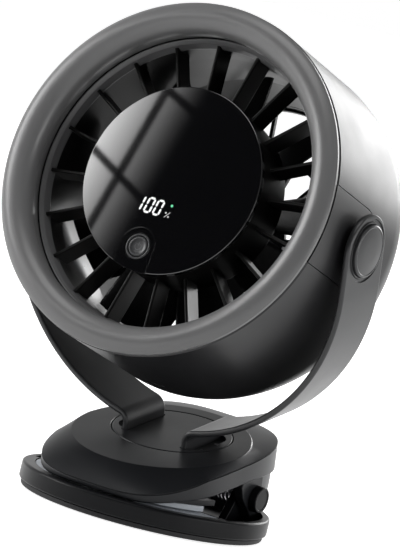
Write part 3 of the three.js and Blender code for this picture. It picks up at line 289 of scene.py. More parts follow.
lower_pad_outline = arc(0, 0, 44.7, 198.25, 341.75, 70)
lower_pad = slab("lower_pad", rounded(lower_pad_outline, 0.6), 7.6, 9.2, on_sole, 0.35)
ribbed(lower_pad, 9, 41.5, 0, 8.8, 10)
dress(lower_pad, pad_rubber, "base", ["lower_jaw_pad"])

upper_pad_outline = [(x, y - 5) for x, y in arc(0, 0, 36, 194.6, 345.4, 70)]
upper_pad = slab("upper_pad", rounded(upper_pad_outline, 0.6), 9.6, 11.9, on_sole, 0.35)
ribbed(upper_pad, 8, 33, -5, 9, 10)
dress(upper_pad, pad_rubber, "clip_top", ["upper_jaw_pad"])


# The lower jaw is one black moulding: a round tray with a rounded rim, two lugs for the hinge
# pin, and slots in its floor where the ears of the upper jaw turn.
across_x = Matrix(((0, 0, 1, 0), (1, 0, 0, 0), (0, 1, 0, 0), (0, 0, 0, 1)))
hinge_y, hinge_z = 25.8, 14.8
clip_black = moulded("clip_black", (0.006, 0.0063, 0.0072), 0.34, grain=0.0003, depth=0.000006, shine=0.12)

jaw = turned("lower_jaw_tray", rounded([(0, 2.3), (50, 2.3, 0.9), (50, 9.3, 1.1), (0, 9.3)], 0, closed=False),
             on_sole, 220)
tray = arc(0, 0, 47, -16.05, 51.93, 40) + arc(0, 0, 47, 128.07, 196.05, 40)
fitted(jaw, slab("tray", rounded(tray, 0.8), 4.3, 12, on_sole), "DIFFERENCE")
pad_seat = arc(0, 0, 45, 197.72, 342.28, 70)
fitted(jaw, slab("seat", rounded(pad_seat, 0.5), 7.3, 12, on_sole), "DIFFERENCE")
lug = [(14.8, 4.1), (14.8, 4.6)] + arc(hinge_y, hinge_z, 4.9, 157, 0, 16) + [(31.2, 4.6), (31.2, 4.1)]
for side in (-1, 1):
    low, high = sorted((side * 29.6, side * 34.4))
    slot = slab("slot", arc(hinge_y, hinge_z, 11.4, 0, 356, 89), low, high, on_sole @ across_x)
    fitted(jaw, slot, "DIFFERENCE")
    low, high = sorted((side * 26, side * 29.6))
    fitted(jaw, slab("lug", lug, low, high, on_sole @ across_x, 0.5), "UNION")
dress(jaw, clip_black, "base", ["lower_jaw"])


# A steel pin holds the two jaws together. A round black cap closes each end of it,
# and two sprung coils of bare steel wire on the pin press the jaws shut.
steel = moulded("steel", (0.55, 0.55, 0.57), 0.3, grain=0.0002, depth=0.000004, mottle=0.06, metallic=1)
on_hinge = on_sole @ Matrix.Translation((0, hinge_y, hinge_z))
pin = turned("hinge_pin_rod", rounded([(0, -34.1), (2, -34.1), (2, 34.1), (0, 34.1)], 0.3, closed=False),
             on_hinge @ Matrix.Rotation(math.radians(90), 4, "Y"), 48)
dress(pin, steel, "base", ["hinge_pin"])

cap_outline = [(0, 34.4), (5.3, 34.4, 0.2), (5.3, 37.6, 0.7), (4.2, 37.6, 0.15), (4.0, 37.35, 0.15), (0, 37.45)]
for side, name in ((-1, "left"), (1, "right")):
    cap = turned("hinge_button_" + name, rounded(cap_outline, 0.2, closed=False),
                 on_hinge @ Matrix.Rotation(math.radians(90 * side), 4, "Y"), 80)
    dress(cap, clip_black, "base", ["hinge_cap_" + name])

coil_radius, coil_turns, coil_pitch, coil_start, wire_half = 4.2, 5, 1.75, 16.4, 0.6
tilt = math.radians(13.75)
jaw_top_y, jaw_top_z = 9, 32.6
ceiling, ceiling_reach, tray_floor, wire_room = -3.9, 31.5, 4.3, 0.3
ceiling -= wire_room + wire_half
upper_end = (jaw_top_y + ceiling_reach * math.cos(tilt) - ceiling * math.sin(tilt) - hinge_y,
             jaw_top_z + ceiling_reach * math.sin(tilt) + ceiling * math.cos(tilt) - hinge_z)
lower_end = (11, tray_floor + wire_room + wire_half - hinge_z)
first = math.atan2(upper_end[1], upper_end[0]) + math.acos(coil_radius / math.hypot(*upper_end))
last = math.atan2(lower_end[1], lower_end[0]) - math.acos(coil_radius / math.hypot(*lower_end))
last += 2 * math.pi * coil_turns
steps = 40 * coil_turns
route = [(coil_start, upper_end[0] * t + (1 - t) * coil_radius * math.cos(first),
          upper_end[1] * t + (1 - t) * coil_radius * math.sin(first)) for t in (1, 0.75, 0.5, 0.25)]
for k in range(steps + 1):
    angle = first + (last - first) * k / steps
    route.append((coil_start + coil_pitch * (angle - first) / (2 * math.pi),
                  coil_radius * math.cos(angle), coil_radius * math.sin(angle)))
route += [(route[-1][0], lower_end[0] * t + (1 - t) * coil_radius * math.cos(last),
           lower_end[1] * t + (1 - t) * coil_radius * math.sin(last)) for t in (0.33, 0.67, 1)]
for side, name in ((-1, "left"), (1, "right")):
    rings = []
    for k, spot in enumerate(route):
        along = (Vector(route[min(k + 1, len(route) - 1)]) - Vector(route[max(k - 1, 0)])).normalized()
        sideways = (Vector((1, 0, 0)) - along * along.x).normalized()
        up = along.cross(sideways)
        ring = [Vector(spot) + wire_half * (sideways * math.cos(t) + up * math.sin(t))
                for t in [2 * math.pi * n / 12 for n in range(12)]]
        rings.append([(side * p.x, p.y, p.z) for p in ring])
    spring = lofted("spring_wire_" + name, rings, on_hinge, sharp=60)
    spring.data.materials.append(steel)
    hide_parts("torsion_spring_" + name)
    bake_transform(spring)


# The upper jaw is a deep black cover, oval with square shoulders and a seam round it over the
# skirt. A platform on top is sunk for the turntable, a plate closes its mouth, and an ear comes
# down inside each flank to the hinge.
on_jaw = on_sole @ Matrix.Translation((0, jaw_top_y, jaw_top_z)) @ Matrix.Rotation(tilt, 4, "X")
cover_angles = [2 * math.pi * k / 240 for k in range(240)]


def share(low, high, part):
    """From low to high, held at either end."""
    return low + (high - low) * min(1, max(0, part))


def cover_reach(angle, inset):
    """How far the cover's wall is from its middle: an oval with square shoulders."""
    wide, long = abs(math.cos(angle)) / (36.5 - inset), abs(math.sin(angle)) / (51 - inset)
    return (wide ** 3.05 + long ** 3.05) ** (-1 / 3.05)


def platform_reach(angle, inset):
    """How far the platform's edge is from the cover's middle: a plain ellipse."""
    return 1 / math.hypot(math.cos(angle) / (34.5 - inset), math.sin(angle) / (39 - inset))


def seam_height(y):
    """The seam climbs towards the hinge."""
    return -share(7.4, 3.5, (y + 58.2) / 30)


def skirt_height(y):
    """The skirt's lower edge, which never comes below the pad on the lower jaw."""
    side = share(10.2, 11.3, (y + 58.2 - 17) / 17)
    rim = (9.6 - jaw_top_z - y * math.sin(tilt)) / math.cos(tilt)
    return max(-side - share(0, 3.2, (y - 5) / 25), rim)


def cover_ring(reach, height):
    """One loop of the cover's skin, from its reach and height all the way round."""
    ring = []
    for angle in cover_angles:
        x, y = reach(angle) * math.cos(angle), -7.2 + reach(angle) * math.sin(angle)
        ring.append((x, y, height(y)))
    return ring


def well_ring(radius, height):
    """One round loop of the turntable's well."""
    return [(radius * math.cos(a), radius * math.sin(a), height) for a in cover_angles]


def platform_step(y):
    """The platform's edge drops a little towards the back."""
    return -share(0, 0.9, (y + 7.2) / 20)


cover_rings = []
for inset, lift in ((1.4, 0), (0.7, 0), (0.3, 0.15), (0.05, 0.45), (0, 0.8)):
    cover_rings.append(cover_ring(lambda a: cover_reach(a, inset), lambda y: skirt_height(y) + lift))
for inset, lift in ((0, -0.45), (0.12, -0.32), (0.4, -0.28), (0.4, 0.05), (0.12, 0.09), (0, 0.22)):
    cover_rings.append(cover_ring(lambda a: cover_reach(a, inset), lambda y: seam_height(y) + lift))
for k in range(1, 15):
    part = k / 15
    cover_rings.append(cover_ring(
        lambda a: share(cover_reach(a, 0), platform_reach(a, 0), part),
        lambda y: share(seam_height(y) + 0.22, platform_step(y), part + 0.32 * part * (1 - part))))
for inset, lift in ((0, 0), (0.05, 0.35), (0.2, 0.75), (0.5, 1)):
    cover_rings.append(cover_ring(lambda a: platform_reach(a, inset), lambda y: platform_step(y) * (1 - lift)))
for radius, height in ((25, 0), (24.6, -0.05), (24.4, -0.3), (24.4, -7),
                       (7.3, -7), (7.3, -9.4), (26.8, -9.4), (26.8, -3.3)):
    cover_rings.append(well_ring(radius, height))
cover_rings.append(cover_ring(lambda a: platform_reach(a, 3.3), lambda y: -3.3))
cover_rings.append(cover_ring(lambda a: cover_reach(a, 2.4), lambda y: seam_height(y) - 1))
cover_rings.append(cover_ring(lambda a: cover_reach(a, 2.4), lambda y: skirt_height(y) + 0.4))
cover_rings.append(cover_ring(lambda a: cover_reach(a, 2.1), lambda y: skirt_height(y)))
cover = lofted("upper_jaw_cover", cover_rings, on_jaw, wrap=True)



def cover_room():
    """The room inside the cover, which trims what is moulded in it."""
    return lofted("room", [
        cover_ring(lambda a: cover_reach(a, 1.2), lambda y: -60),
        cover_ring(lambda a: cover_reach(a, 1.2), lambda y: seam_height(y) - 0.6),
        cover_ring(lambda a: platform_reach(a, 1.2), lambda y: -2.1)], on_jaw)


ear_front = ((-12.2, 26), (-12.2, 3.8), (-9.9, 0.1), (-6.5, -2.7), (-2.8, -5.2), (0.5, -8.5))
ear = [(hinge_y + y, hinge_z + z) for y, z in ear_front]
ear += arc(hinge_y, hinge_z, 11, 285, 350, 24)
ear += [(hinge_y + y, hinge_z + z) for y, z in ((11.6, 1), (15.4, 7.1), (16.8, 8.3), (16.8, 26))]
# The cover, its ears and the turntable use the lower jaw's black plastic made lighter. This is painted light that
# stands in for light from above on their tops.
cover_black_painted_lighter = moulded("cover_black_painted_lighter", (0.014, 0.0147, 0.0165), 0.34, grain=0.0003, depth=0.000006, shine=0.2)
ear_left = slab("upper_jaw_ear_left", rounded(ear, 1.0), -34.1, -30.1, on_sole @ across_x, 0.5)
fitted(ear_left, cover_room(), "INTERSECT")
ear_right = ear_left.copy()
ear_right.name = "upper_jaw_ear_right"
ear_right.data = ear_left.data.copy()
ear_right.data.transform(Matrix.Diagonal((-1, 1, 1, 1)))
ear_right.data.flip_normals()
room.collection.objects.link(ear_right)
for plate in (ear_left, ear_right):
    dress(plate, cover_black_painted_lighter, "clip_top", ["upper_jaw"])
mouth_plate = slab("mouth", arc(0, 0, 60, 187, 353, 60), 12.2, 14.2, on_sole)
fitted(mouth_plate, cover_room(), "INTERSECT")
fitted(cover, mouth_plate, "UNION")
dress(cover, cover_black_painted_lighter, "clip_top", ["upper_jaw"])


# The turntable is a black disc that swivels on its post in the platform. Each foot of the yoke
# goes down through a slot with a rolled lip, into a pocket that is dished outwards.
table_outline = rounded([(0, -2.8), (24, -2.8, 0.2), (24, 0, 0.6), (0, 0)], 0, closed=False)
table = turned("turntable_disc", table_outline, on_jaw, 200)
post = turned("post", [(0, -12.6), (7, -12.6), (7, -7), (10, -6.7), (10, -2), (0, -2)], on_jaw, 64)
fitted(table, post, "UNION")
slot_corners = ((12.15, -14.4), (15.45, -14.4), (15.45, 14.4), (12.15, 14.4))
dish_corners = ((14, -12.4), (17.6, -11.6), (20.2, -8.2), (21, 0), (20.2, 8.2), (17.6, 11.6), (14, 12.4))
for side in (-1, 1):
    slot = rounded([(side * x, y) for x, y in slot_corners], 1.2)
    fitted(table, slab("slot", slot, -4, 2, on_jaw), "DIFFERENCE")
    dish = rounded([(side * x, y) for x, y in dish_corners], 3.5)
    fitted(table, slab("dish", dish, -1.7, 2, on_jaw), "DIFFERENCE")
softened(table, 0.00022, 3)
# The turntable takes the cover's lightened black, which is painted light from above.
dress(table, cover_black_painted_lighter, "yoke", ["turntable"])
carried_over(["friction_washer"], rubber)
carried_over(["swivel_retainer", "swivel_screw", "yoke_screw_left_front", "yoke_screw_left_back",
              "yoke_screw_right_front", "yoke_screw_right_back"], steel)


# The yoke's two arms are straps of dark grey plastic with rolled edges. Each comes up out of its
# slot, bends out over a tight knee, and follows the round of the head to a rounded end that
# carries the pivot. A shallow groove runs round the seat of the pivot's cap.
arm_grey = moulded("arm_grey", (0.022, 0.0225, 0.024), 0.33, grain=0.00035, depth=0.000008, shine=0.4)
arm_middle, arm_half, arm_wide, arch_z = 74.25, 1.25, 14.0, 79.0
foot_x, knee_x, knee_z, knee_radius, knee_turn = 13.8, 18.3, 2.406, 4.5, 103.44
pivot_height = 94.8
path = [(foot_x, z) for z in (-5.2, -3.4, -1.5, 0.5)] + arc(knee_x, knee_z, knee_radius, 180, knee_turn, 14)
path += arc(0, arch_z, arm_middle, knee_turn - 180, 0, 64)[1:]
path += [(arm_middle, z) for z in (84, 89, pivot_height)]
strap_sections = [(x, z, arm_wide, arm_half) for x, z in path]
for k in range(1, 24):
    turn = math.radians(88 * k / 23)
    depth = arm_wide * (1 - math.sin(turn))
    thin = arm_half if depth > 1 else arm_half - 1 + math.sqrt(max(0.0, 1 - (1 - depth) ** 2))
    strap_sections.append((arm_middle, pivot_height + arm_wide * math.sin(turn), arm_wide * math.cos(turn), thin))
corner_steps = [math.radians(d) for d in (0, 22, 45, 68, 90)]
groove_outline = rounded([(11.4, 74.9), (12.4, 74.9), (12.7, 75.8), (12.7, 78), (11.1, 78), (11.1, 75.8)], 0.2)


def flank(place, side):
    """A pivot's own plane on one flank: its height axis points outwards."""
    return place @ Matrix.Rotation(math.radians(90 * side), 4, "Y")


on_pivot = on_jaw @ Matrix.Translation((0, 0, pivot_height))
for side, name in ((-1, "left"), (1, "right")):
    rings = []
    for k, (x, z, wide, thick) in enumerate(strap_sections):
        a = strap_sections[max(k - 1, 0)]
        b = strap_sections[min(k + 1, len(strap_sections) - 1)]
        along = Vector((b[0] - a[0], b[1] - a[1])).normalized()
        out = Vector((along.y, -along.x))
        edge = min(1.0, thick, wide)
        ring = []
        for su, sv, turn in ((1, 1, 0), (-1, 1, 1), (-1, -1, 2), (1, -1, 3)):
            for step in corner_steps:
                c, s = math.cos(step + turn * math.pi / 2), math.sin(step + turn * math.pi / 2)
                u, v = su * (thick - edge) + edge * c, sv * (wide - edge) + edge * s
                ring.append((side * (x + out.x * u), v, z + out.y * u))
        rings.append(ring)
    arm = lofted("strap_" + name, rings, on_jaw, sharp=40)
    seat = turned("seat", [(0, 74.3), (10.7, 74.3), (10.7, 78), (0, 78)], flank(on_pivot, side), 96)
    fitted(arm, seat, "DIFFERENCE", sharp=40)
    fitted(arm, turned("groove", groove_outline, flank(on_pivot, side), 96), "DIFFERENCE", sharp=40)
    tab = rounded([(side * 13, -9), (side * 20.5, -9), (side * 20.5, 9), (side * 13, 9)], 1)
    fitted(arm, slab("tab", tab, -5.2, -3.1, on_jaw), "UNION", sharp=40)
    dress(arm, arm_grey, "yoke", ["yoke_arm_" + name])


# The head hangs between the arms on two black bolts with washers. A round cap with a low dome
# is pressed over each bolt's head.
cap_grey = moulded("cap_grey", (0.02, 0.0205, 0.022), 0.3, grain=0.0003, depth=0.000006, shine=0.4)
pivot_cap = [(0, 76.3), (6.3, 76.3), (6.3, 74.6), (10.4, 74.6, 0.1), (10.4, 76.6, 0.5), (9.6, 76.95, 0.3),
             (9.2, 76.75, 0.2), (7, 77.05, 0), (4, 77.17, 0), (0, 77.2)]
for side, name in ((-1, "left"), (1, "right")):
    cap = turned("pivot_button_" + name, rounded(pivot_cap, 0.1, closed=False), flank(on_pivot, side), 120)
    dress(cap, cap_grey, "yoke", ["pivot_cap_" + name])
carried_over(["pivot_bolt_left", "pivot_bolt_right"], steel)
carried_over(["pivot_washer_left", "pivot_washer_right"], rubber)


# The drum is the head's shell, satin black, drawn in at the back to a lip that carries the rear
# grille. A panel is let into each flank round the pivot, and a fine seam is left round it.
on_head = on_pivot @ Matrix.Rotation(math.radians(-28.95), 4, "X")
facing = on_head @ Matrix.Rotation(math.radians(90), 4, "X")
shell_black = moulded("shell_black", (0.010, 0.010, 0.0108), 0.36, grain=0.0003, depth=0.000008, shine=0.3)
drum_curve = [(71, -28), (70.75, -31), (70.1, -34), (68.9, -37.2), (67.1, -40.6), (64.9, -44.2), (62.6, -47.4)]
drum_outline = [(70.5, 29.6, 0.3), (71, 28.9, 0.5)] + drum_curve + [(61.2, -49.6, 0.7), (58.8, -50, 0.3)]
drum_outline += [(58.8, -47.3, 0.1), (55, -47.3, 0.4), (55, -43.3, 0.4)]
drum_outline += [(62.8, -43.3), (66.6, -37.2), (68.4, -31), (68.8, -27), (68.8, 29.6, 0.2)]
drum = turned("drum_body", rounded(drum_outline, 0), facing, 240)


def panel_edge(half, side):
    """A long outline round the pivot, cut right through one flank."""
    low, high = sorted((side * 45, side * 90))
    return slab("edge", arc(0, 0, half, -90, 90, 40) + [(-31, half), (-31, -half)], low, high, on_head @ across_x)


for side in (-1, 1):
    recess = turned("recess", [(69.8, -22), (74, -22), (74, 31), (69.8, 31)], facing, 240)
    fitted(recess, panel_edge(16, side), "INTERSECT")
    fitted(drum, recess, "DIFFERENCE")
    boss = turned("boss", [(0, 69), (9, 69), (9, 71.6), (0, 71.6)], flank(on_head, side), 80)
    fitted(drum, boss, "UNION")
socket_mouth = rounded([(-4.8, 16.05), (4.8, 16.05), (4.8, 19.95), (-4.8, 19.95)], 1.9)
fitted(drum, slab("mouth", socket_mouth, -80, -60, on_head), "DIFFERENCE")
dress(drum, shell_black, "head", ["drum_shell"])

for side, name in ((-1, "left"), (1, "right")):
    panel = turned("flank_panel_" + name, [(70.1, -22), (71, -22), (71, 29.3), (70.1, 29.3)], facing, 240)
    fitted(panel, panel_edge(15.7, side), "INTERSECT")
    hole = turned("hole", [(0, 60), (9.3, 60), (9.3, 80), (0, 80)], flank(on_head, side), 80)
    fitted(panel, hole, "DIFFERENCE")
    softened(panel, 0.00015)
    dress(panel, shell_black, "head", ["side_panel_" + name])


# The bezel is a thick ring of satin grey plastic, round in section, that closes the drum's front.
# It is pushed into the drum on a spigot.
bezel_grey = moulded("bezel_grey", (0.125, 0.125, 0.126), 0.33, grain=0.00028, depth=0.000007, mottle=0.05)
roll_radius, roll_front, roll_outer, roll_inner = 65.509, 27.3, 6.5, 4.5
bezel_outline = [(60.3, 20.6)] + arc(roll_radius, roll_front, roll_outer, 200, 37, 40)
bezel_outline += [(70.69, 29.9), (68.4, 29.9), (68.4, 20.6), (66.4, 20.6)]
bezel_outline += arc(roll_radius, roll_front, roll_inner, 65, 200, 10) + [(62.3, 20.6)]
bezel = turned("bezel_ring", bezel_outline, facing, 240)
dress(bezel, bezel_grey, "head", ["front_bezel"])


# Behind the bezel sits one black moulding: twenty fixed vanes set edge on to the air, and the cup
# that carries the display. A slim grey liner ring covers its joint with the bezel.
inner_black = moulded("inner_black", (0.006, 0.0058, 0.0057), 0.3, grain=0.0003, depth=0.000006, shine=0.14)
liner_outline = [(57.3, 15.2, 0.3), (60, 15.2), (60, 20.3), (59.5, 20.3, 0.3), (58.3, 18.9, 1), (57.3, 15.8, 0.5)]
liner = turned("grille_liner", rounded(liner_outline, 0.2), facing, 200)
liner_grey = moulded("liner_grey", (0.11, 0.11, 0.112), 0.3, grain=0.0003, depth=0.000006, mottle=0.05)
dress(liner, liner_grey, "head", ["front_grille"])
cup_outline = [(0, 3), (37.2, 3, 0.8), (37.2, 24.6, 0.4), (35.2, 24.6, 0.2), (35.2, 5, 0.5), (0, 5)]
grille = turned("grille_body", rounded(cup_outline, 0, closed=False), facing, 200)
fitted(grille, turned("wall", [(57.5, 4), (60, 4), (60, 15.2), (57.5, 15.2)], facing, 200), "UNION")
vane_section = rounded([(7, -0.75, 0.6), (18, -0.75, 0.6), (18, 0.75, 0.6), (7, 0.75, 0.6)], 0.6)
for k in range(20):
    turn = facing @ Matrix.Rotation(math.radians(7.5 + 18 * k), 4, "Z")
    rings = []
    for radius, thick in ((36.2, 1.25), (37.6, 1.0), (40, 0.92), (48, 0.86), (55, 0.92), (57.2, 1.0), (58.7, 1.25)):
        rings.append([(radius, y * thick, f) for f, y in vane_section])
    fitted(grille, lofted("vane", rings, turn), "UNION")
for x, z in ((25.5, 14.7), (-25.5, 14.7), (14.2, -25.7)):
    post = turned("post", [(0, 4), (2.6, 4), (2.6, 20.1), (0, 20.1)], facing @ Matrix.Translation((x, z, 0)), 32)
    fitted(grille, post, "UNION")
dress(grille, inner_black, "head", ["front_grille"])


# A duct of black plastic lines the drum round the spinning blades. The rear grille is a hub, a hoop
# and a rim on sixteen flat spokes, held in the drum's lip by three screws.
duct_outline = [(55, -43), (56.8, -43), (60, -23), (60, 3.7), (58.2, 3.7), (58.2, -23)]
duct = turned("duct_ring", rounded(duct_outline, 0.3), facing, 160)
dress(duct, inner_black, "head", ["air_duct"])

rear = turned("rear_guard", rounded([(54, -50), (58.5, -50), (58.5, -47.6), (54, -47.6)], 0.5), facing, 200)
hoop = rounded([(33.9, -50), (36.1, -50), (36.1, -47.6), (33.9, -47.6)], 0.5)
fitted(rear, turned("hoop", hoop, facing, 120), "UNION")
hub = [(0, -49.6), (11, -49.6, 0.3), (12, -50, 0.3), (15, -50, 0.5), (15, -47.6, 0.3), (0, -47.6)]
fitted(rear, turned("hub", rounded(hub, 0, closed=False), facing, 96), "UNION")
for k in range(16):
    turn = facing @ Matrix.Rotation(math.radians(11.25 + 22.5 * k), 4, "Z")
    spoke = rounded([(-50, -0.75), (-47.6, -0.75), (-47.6, 0.75), (-50, 0.75)], 0.45)
    rings = [[(radius, y, f) for f, y in spoke] for radius in (14, 34, 55.4)]
    fitted(rear, lofted("spoke", rings, turn), "UNION")
for x, y in [arc(0, 0, 56.9, angle, angle, 1)[0] for angle in (90, 210, 330)]:
    hole = turned("hole", [(0, -52), (1.4, -52), (1.4, -46), (0, -46)], facing @ Matrix.Translation((x, y, 0)), 24)
    fitted(rear, hole, "DIFFERENCE")
dress(rear, shell_black, "head", ["rear_grille"])
carried_over(["rear_screw_1", "rear_screw_2", "rear_screw_3"], steel)


# A small steel charging socket looks out of a slot at the back of the drum. Behind the grille nine
# thin black blades on a cup-shaped hub turn on the motor's shaft.
carried_over(["usb_c_socket"], steel, 0.0001)
board_green = moulded("board_green", (0.01, 0.09, 0.035), 0.4, grain=0.0005, depth=0.00001, mottle=0.3)
carried_over(["charge_board"], board_green, 0.0001)
carried_over(["motor_base", "bearing_front", "bearing_back", "motor_shaft", "rotor_can"], steel, 0.00015)
magnet = moulded("magnet", (0.05, 0.05, 0.055), 0.5, grain=0.0004, metallic=1)
carried_over(["magnet_ring"], magnet, 0.0001)
copper = moulded("copper", (0.7, 0.28, 0.12), 0.35, grain=0.0004, depth=0.00003, metallic=1)
carried_over(["stator"], copper, 0.0001)

blade_black = moulded("blade_black", (0.008, 0.008, 0.0085), 0.22, grain=0.0004, depth=0.000005)
hub = [(18.9, -1.5), (20.9, -1.5), (20.9, -23), (1.8, -23), (1.8, -21.2), (18.9, -21.2)]
wheel = turned("impeller_wheel", rounded(hub, 0.4), facing, 120)
blade_count, blade_phase, sweep_root, sweep_tip = 9, 12, 40, 21
blade_root, blade_tip, blade_half, blade_front, blade_depth, chord_steps = 19.9, 56.3, 0.75, -3, 18, 12
for k in range(blade_count):
    rings = []
    for part in [n / 10 for n in range(11)]:
        radius = share(blade_root, blade_tip, part)
        sweep = math.radians(share(sweep_root, sweep_tip, part))
        front, back = [], []
        for n in range(chord_steps + 1):
            thick = blade_half * (1 if 0 < n < chord_steps else 0.5) / radius
            turn, f = sweep * (n / chord_steps - 0.5), blade_front - blade_depth * n / chord_steps
            front.append((radius * math.cos(turn - thick), radius * math.sin(turn - thick), f))
            back.append((radius * math.cos(turn + thick), radius * math.sin(turn + thick), f))
        rings.append(front + back[::-1])
    turn = math.radians(blade_phase + 360 / blade_count * k)
    fitted(wheel, lofted("blade", rings, facing @ Matrix.Rotation(turn, 4, "Z")), "UNION")
dress(wheel, blade_black, "rotor", ["impeller"])


# The display's electronics sit in the cup: a board on three screws with a readout and a switch,
# and behind them the battery in its silver sleeve.
carried_over(["control_board"], board_green, 0.0001)
carried_over(["board_screw_1", "board_screw_2", "board_screw_3", "tact_switch"], steel, 0.0001)
readout_white = moulded("readout_white", (0.6, 0.6, 0.6), 0.5)
carried_over(["led_display"], readout_white, 0.0001)
battery_silver = moulded("battery_silver", (0.5, 0.51, 0.53), 0.35, grain=0.0008, depth=0.00003, metallic=0.8)
carried_over(["battery_pack"], battery_silver, 0.0006)


# The display disc is tinted acrylic, black and as smooth as glass, with a polished edge. A shallow
# tongue is cut in from its lower edge round the button.
gloss_black = moulded("gloss_black", (0.0025, 0.0025, 0.003), 0.035, grain=0.004, depth=0.000001,
                      mottle=0.1, shine=1.0, rough_range=0.01)
button_x, button_y, disc_front = -3.6, -28.2, 27.1
disc_outline = [(0, 24.9), (37.9, 24.9, 0.2), (37.9, disc_front, 0.45), (0, disc_front)]
disc = turned("display_disc", rounded(disc_outline, 0, closed=False), facing, 240)
tongue = arc(button_x, button_y, 7.6, 0, 180, 40) + [(button_x - 7.6, -39), (button_x + 7.6, -39)]
fitted(disc, slab("tongue", tongue, 26.5, 29, facing), "DIFFERENCE")
at_button = facing @ Matrix.Translation((button_x, button_y, 0))
fitted(disc, turned("hole", [(0, 24), (5.5, 24), (5.5, 29), (0, 29)], at_button, 96), "DIFFERENCE")
softened(disc, 0.00018, 3)
dress(disc, gloss_black, "head", ["display_lens"])

collar_outline = [(4.3, 24.5), (5.2, 24.5), (5.2, 26.5, 0.35), (4.3, 26.5, 0.35)]
finger_ring = turned("button_collar", rounded(collar_outline, 0.1), at_button, 96)
dress(finger_ring, cap_grey, "head", ["button_ring"])
button_outline = [(0, 24.4), (1.5, 24.4), (1.5, 25.1), (4, 25.1), (4, 26.3, 0.3), (3.2, 26.3, 0.3),
                  (2.4, 26.1, 0.3), (0, 26.05)]
button = turned("button_cap", rounded(button_outline, 0.1, closed=False), at_button, 80)
dress(button, cap_grey, "button", ["power_button"])


# Readout: slanted white figures of seven bars shine through the disc, with a small percent sign
# and a green dot. A faint on-off mark is printed on the button.
def lit(name, colour, strength):
    """A light that shines through the disc, with a slight ripple in its brightness."""
    glow = bpy.data.materials.new(name)
    glow.use_nodes = True
    nodes, links = glow.node_tree.nodes, glow.node_tree.links
    shader = nodes["Principled BSDF"]
    shader.inputs["Base Color"].default_value = (0.02, 0.02, 0.02, 1)
    shader.inputs["Emission Strength"].default_value = strength
    ripple = nodes.new("ShaderNodeTexNoise")
    ripple.inputs["Scale"].default_value = 900
    tint = nodes.new("ShaderNodeMix")
    tint.data_type = "RGBA"
    tint.inputs["A"].default_value = (*[c * 0.92 for c in colour], 1)
    tint.inputs["B"].default_value = (*colour, 1)
    links.new(ripple.outputs["Fac"], tint.inputs["Factor"])
    links.new(tint.outputs["Result"], shader.inputs["Emission Color"])
    return glow


def bars(name, shapes, place, finish, body):
    """Thin flat shapes laid on one face as a single piece."""
    points, faces = [], []
    for shape in shapes:
        start, count = len(points), len(shape)
        points += [(x, y, 0) for x, y in shape] + [(x, y, 0.03) for x, y in shape]
        faces += [tuple(range(start, start + count)), tuple(range(start + count, start + 2 * count))]
        for k in range(count):
            n = (k + 1) % count
            faces.append((start + k, start + n, start + count + n, start + count + k))
    thing = piece(name, points, faces, place)
    return dress(thing, finish, body)


def bar(x1, y1, x2, y2, wide):
    """A straight bar with pointed ends."""
    along = (Vector((x2, y2)) - Vector((x1, y1))).normalized()
    side, tip = Vector((along.y, -along.x)) * wide / 2, along * wide / 2
    a, b = Vector((x1, y1)), Vector((x2, y2))
    return [tuple(p) for p in (a - tip, a + side, b + side, b + tip, b - side, a - side)]


def figure(segments, left, bottom, wide=2.5, high=5.8, thick=0.85, slant=0.14):
    """A slanted figure, from the letters of its lit segments."""
    gap = thick * 0.62
    ends = {"a": (0, 2, 1, 2), "b": (1, 2, 1, 1), "c": (1, 1, 1, 0),
            "d": (0, 0, 1, 0), "e": (0, 1, 0, 0), "f": (0, 2, 0, 1)}
    shapes = []
    for segment in segments:
        x1, y1, x2, y2 = ends[segment]
        start, end = Vector((x1 * wide, y1 * high / 2)), Vector((x2 * wide, y2 * high / 2))
        along = (end - start).normalized()
        start, end = start + along * gap, end - along * gap
        shapes.append([(left + x + slant * y, bottom + y)
                       for x, y in bar(start.x, start.y, end.x, end.y, thick)])
    return shapes


white_light = lit("readout_glow", (1, 1, 1), 1.0)
on_disc = facing @ Matrix.Translation((0, 0, disc_front - 0.01))
base_line = -14.6
digits = figure("bc", -11.0, base_line) + figure("abcdef", -6.6, base_line) + figure("abcdef", -2.5, base_line)
bars("readout_figures", digits, on_disc, white_light, "head")
dim_light = lit("sign_glow", (0.5, 0.5, 0.5), 1.0)
percent = [bar(2.9, base_line, 4.7, -12.3, 0.3)]
percent += [arc(x, y, 0.42, 0, 315, 7) for x, y in ((3.0, -12.8), (4.5, -14.1))]
bars("readout_percent", percent, on_disc, dim_light, "head")
green_light = lit("dot_glow", (0.12, 0.75, 0.38), 1.0)
dot = [arc(4.4, -9.6, 0.55, 0, 330, 11)]
bars("readout_dot", dot, on_disc, green_light, "head")
mark_grey = moulded("mark_grey", (0.06, 0.06, 0.065), 0.4)
mark = [bar(0, 0.4, 0, 1.7, 0.32)]
curve = arc(0, 0, 1.35, 125, 415, 20)
mark += [bar(*a, *b, 0.3) for a, b in zip(curve, curve[1:])]
bars("button_mark", mark, at_button @ Matrix.Translation((0, 0, 26.07)), mark_grey, "button")


# The floor is a plain white sheet, far wider than the picture. It shows as white where nothing
# shades it, and keeps the fan's soft shadow.
floor_reach, floor_level = 6, -0.0004
corners = [(x * floor_reach, y * floor_reach, floor_level) for x, y in ((-1, -1), (1, -1), (1, 1), (-1, 1))]
floor = piece("floor", corners, [(0, 1, 2, 3)], Matrix())


def seen_or_mirrored(tree):
    """One where a ray comes from the camera, or was mirrored or let through on its way."""
    ray = tree.nodes.new("ShaderNodeLightPath")
    total = ray.outputs["Is Camera Ray"]
    for way in ("Is Glossy Ray", "Is Transmission Ray"):
        both = tree.nodes.new("ShaderNodeMath")
        both.operation = "MAXIMUM"
        tree.links.new(total, both.inputs[0])
        tree.links.new(ray.outputs[way], both.inputs[1])
        total = both.outputs[0]
    return total


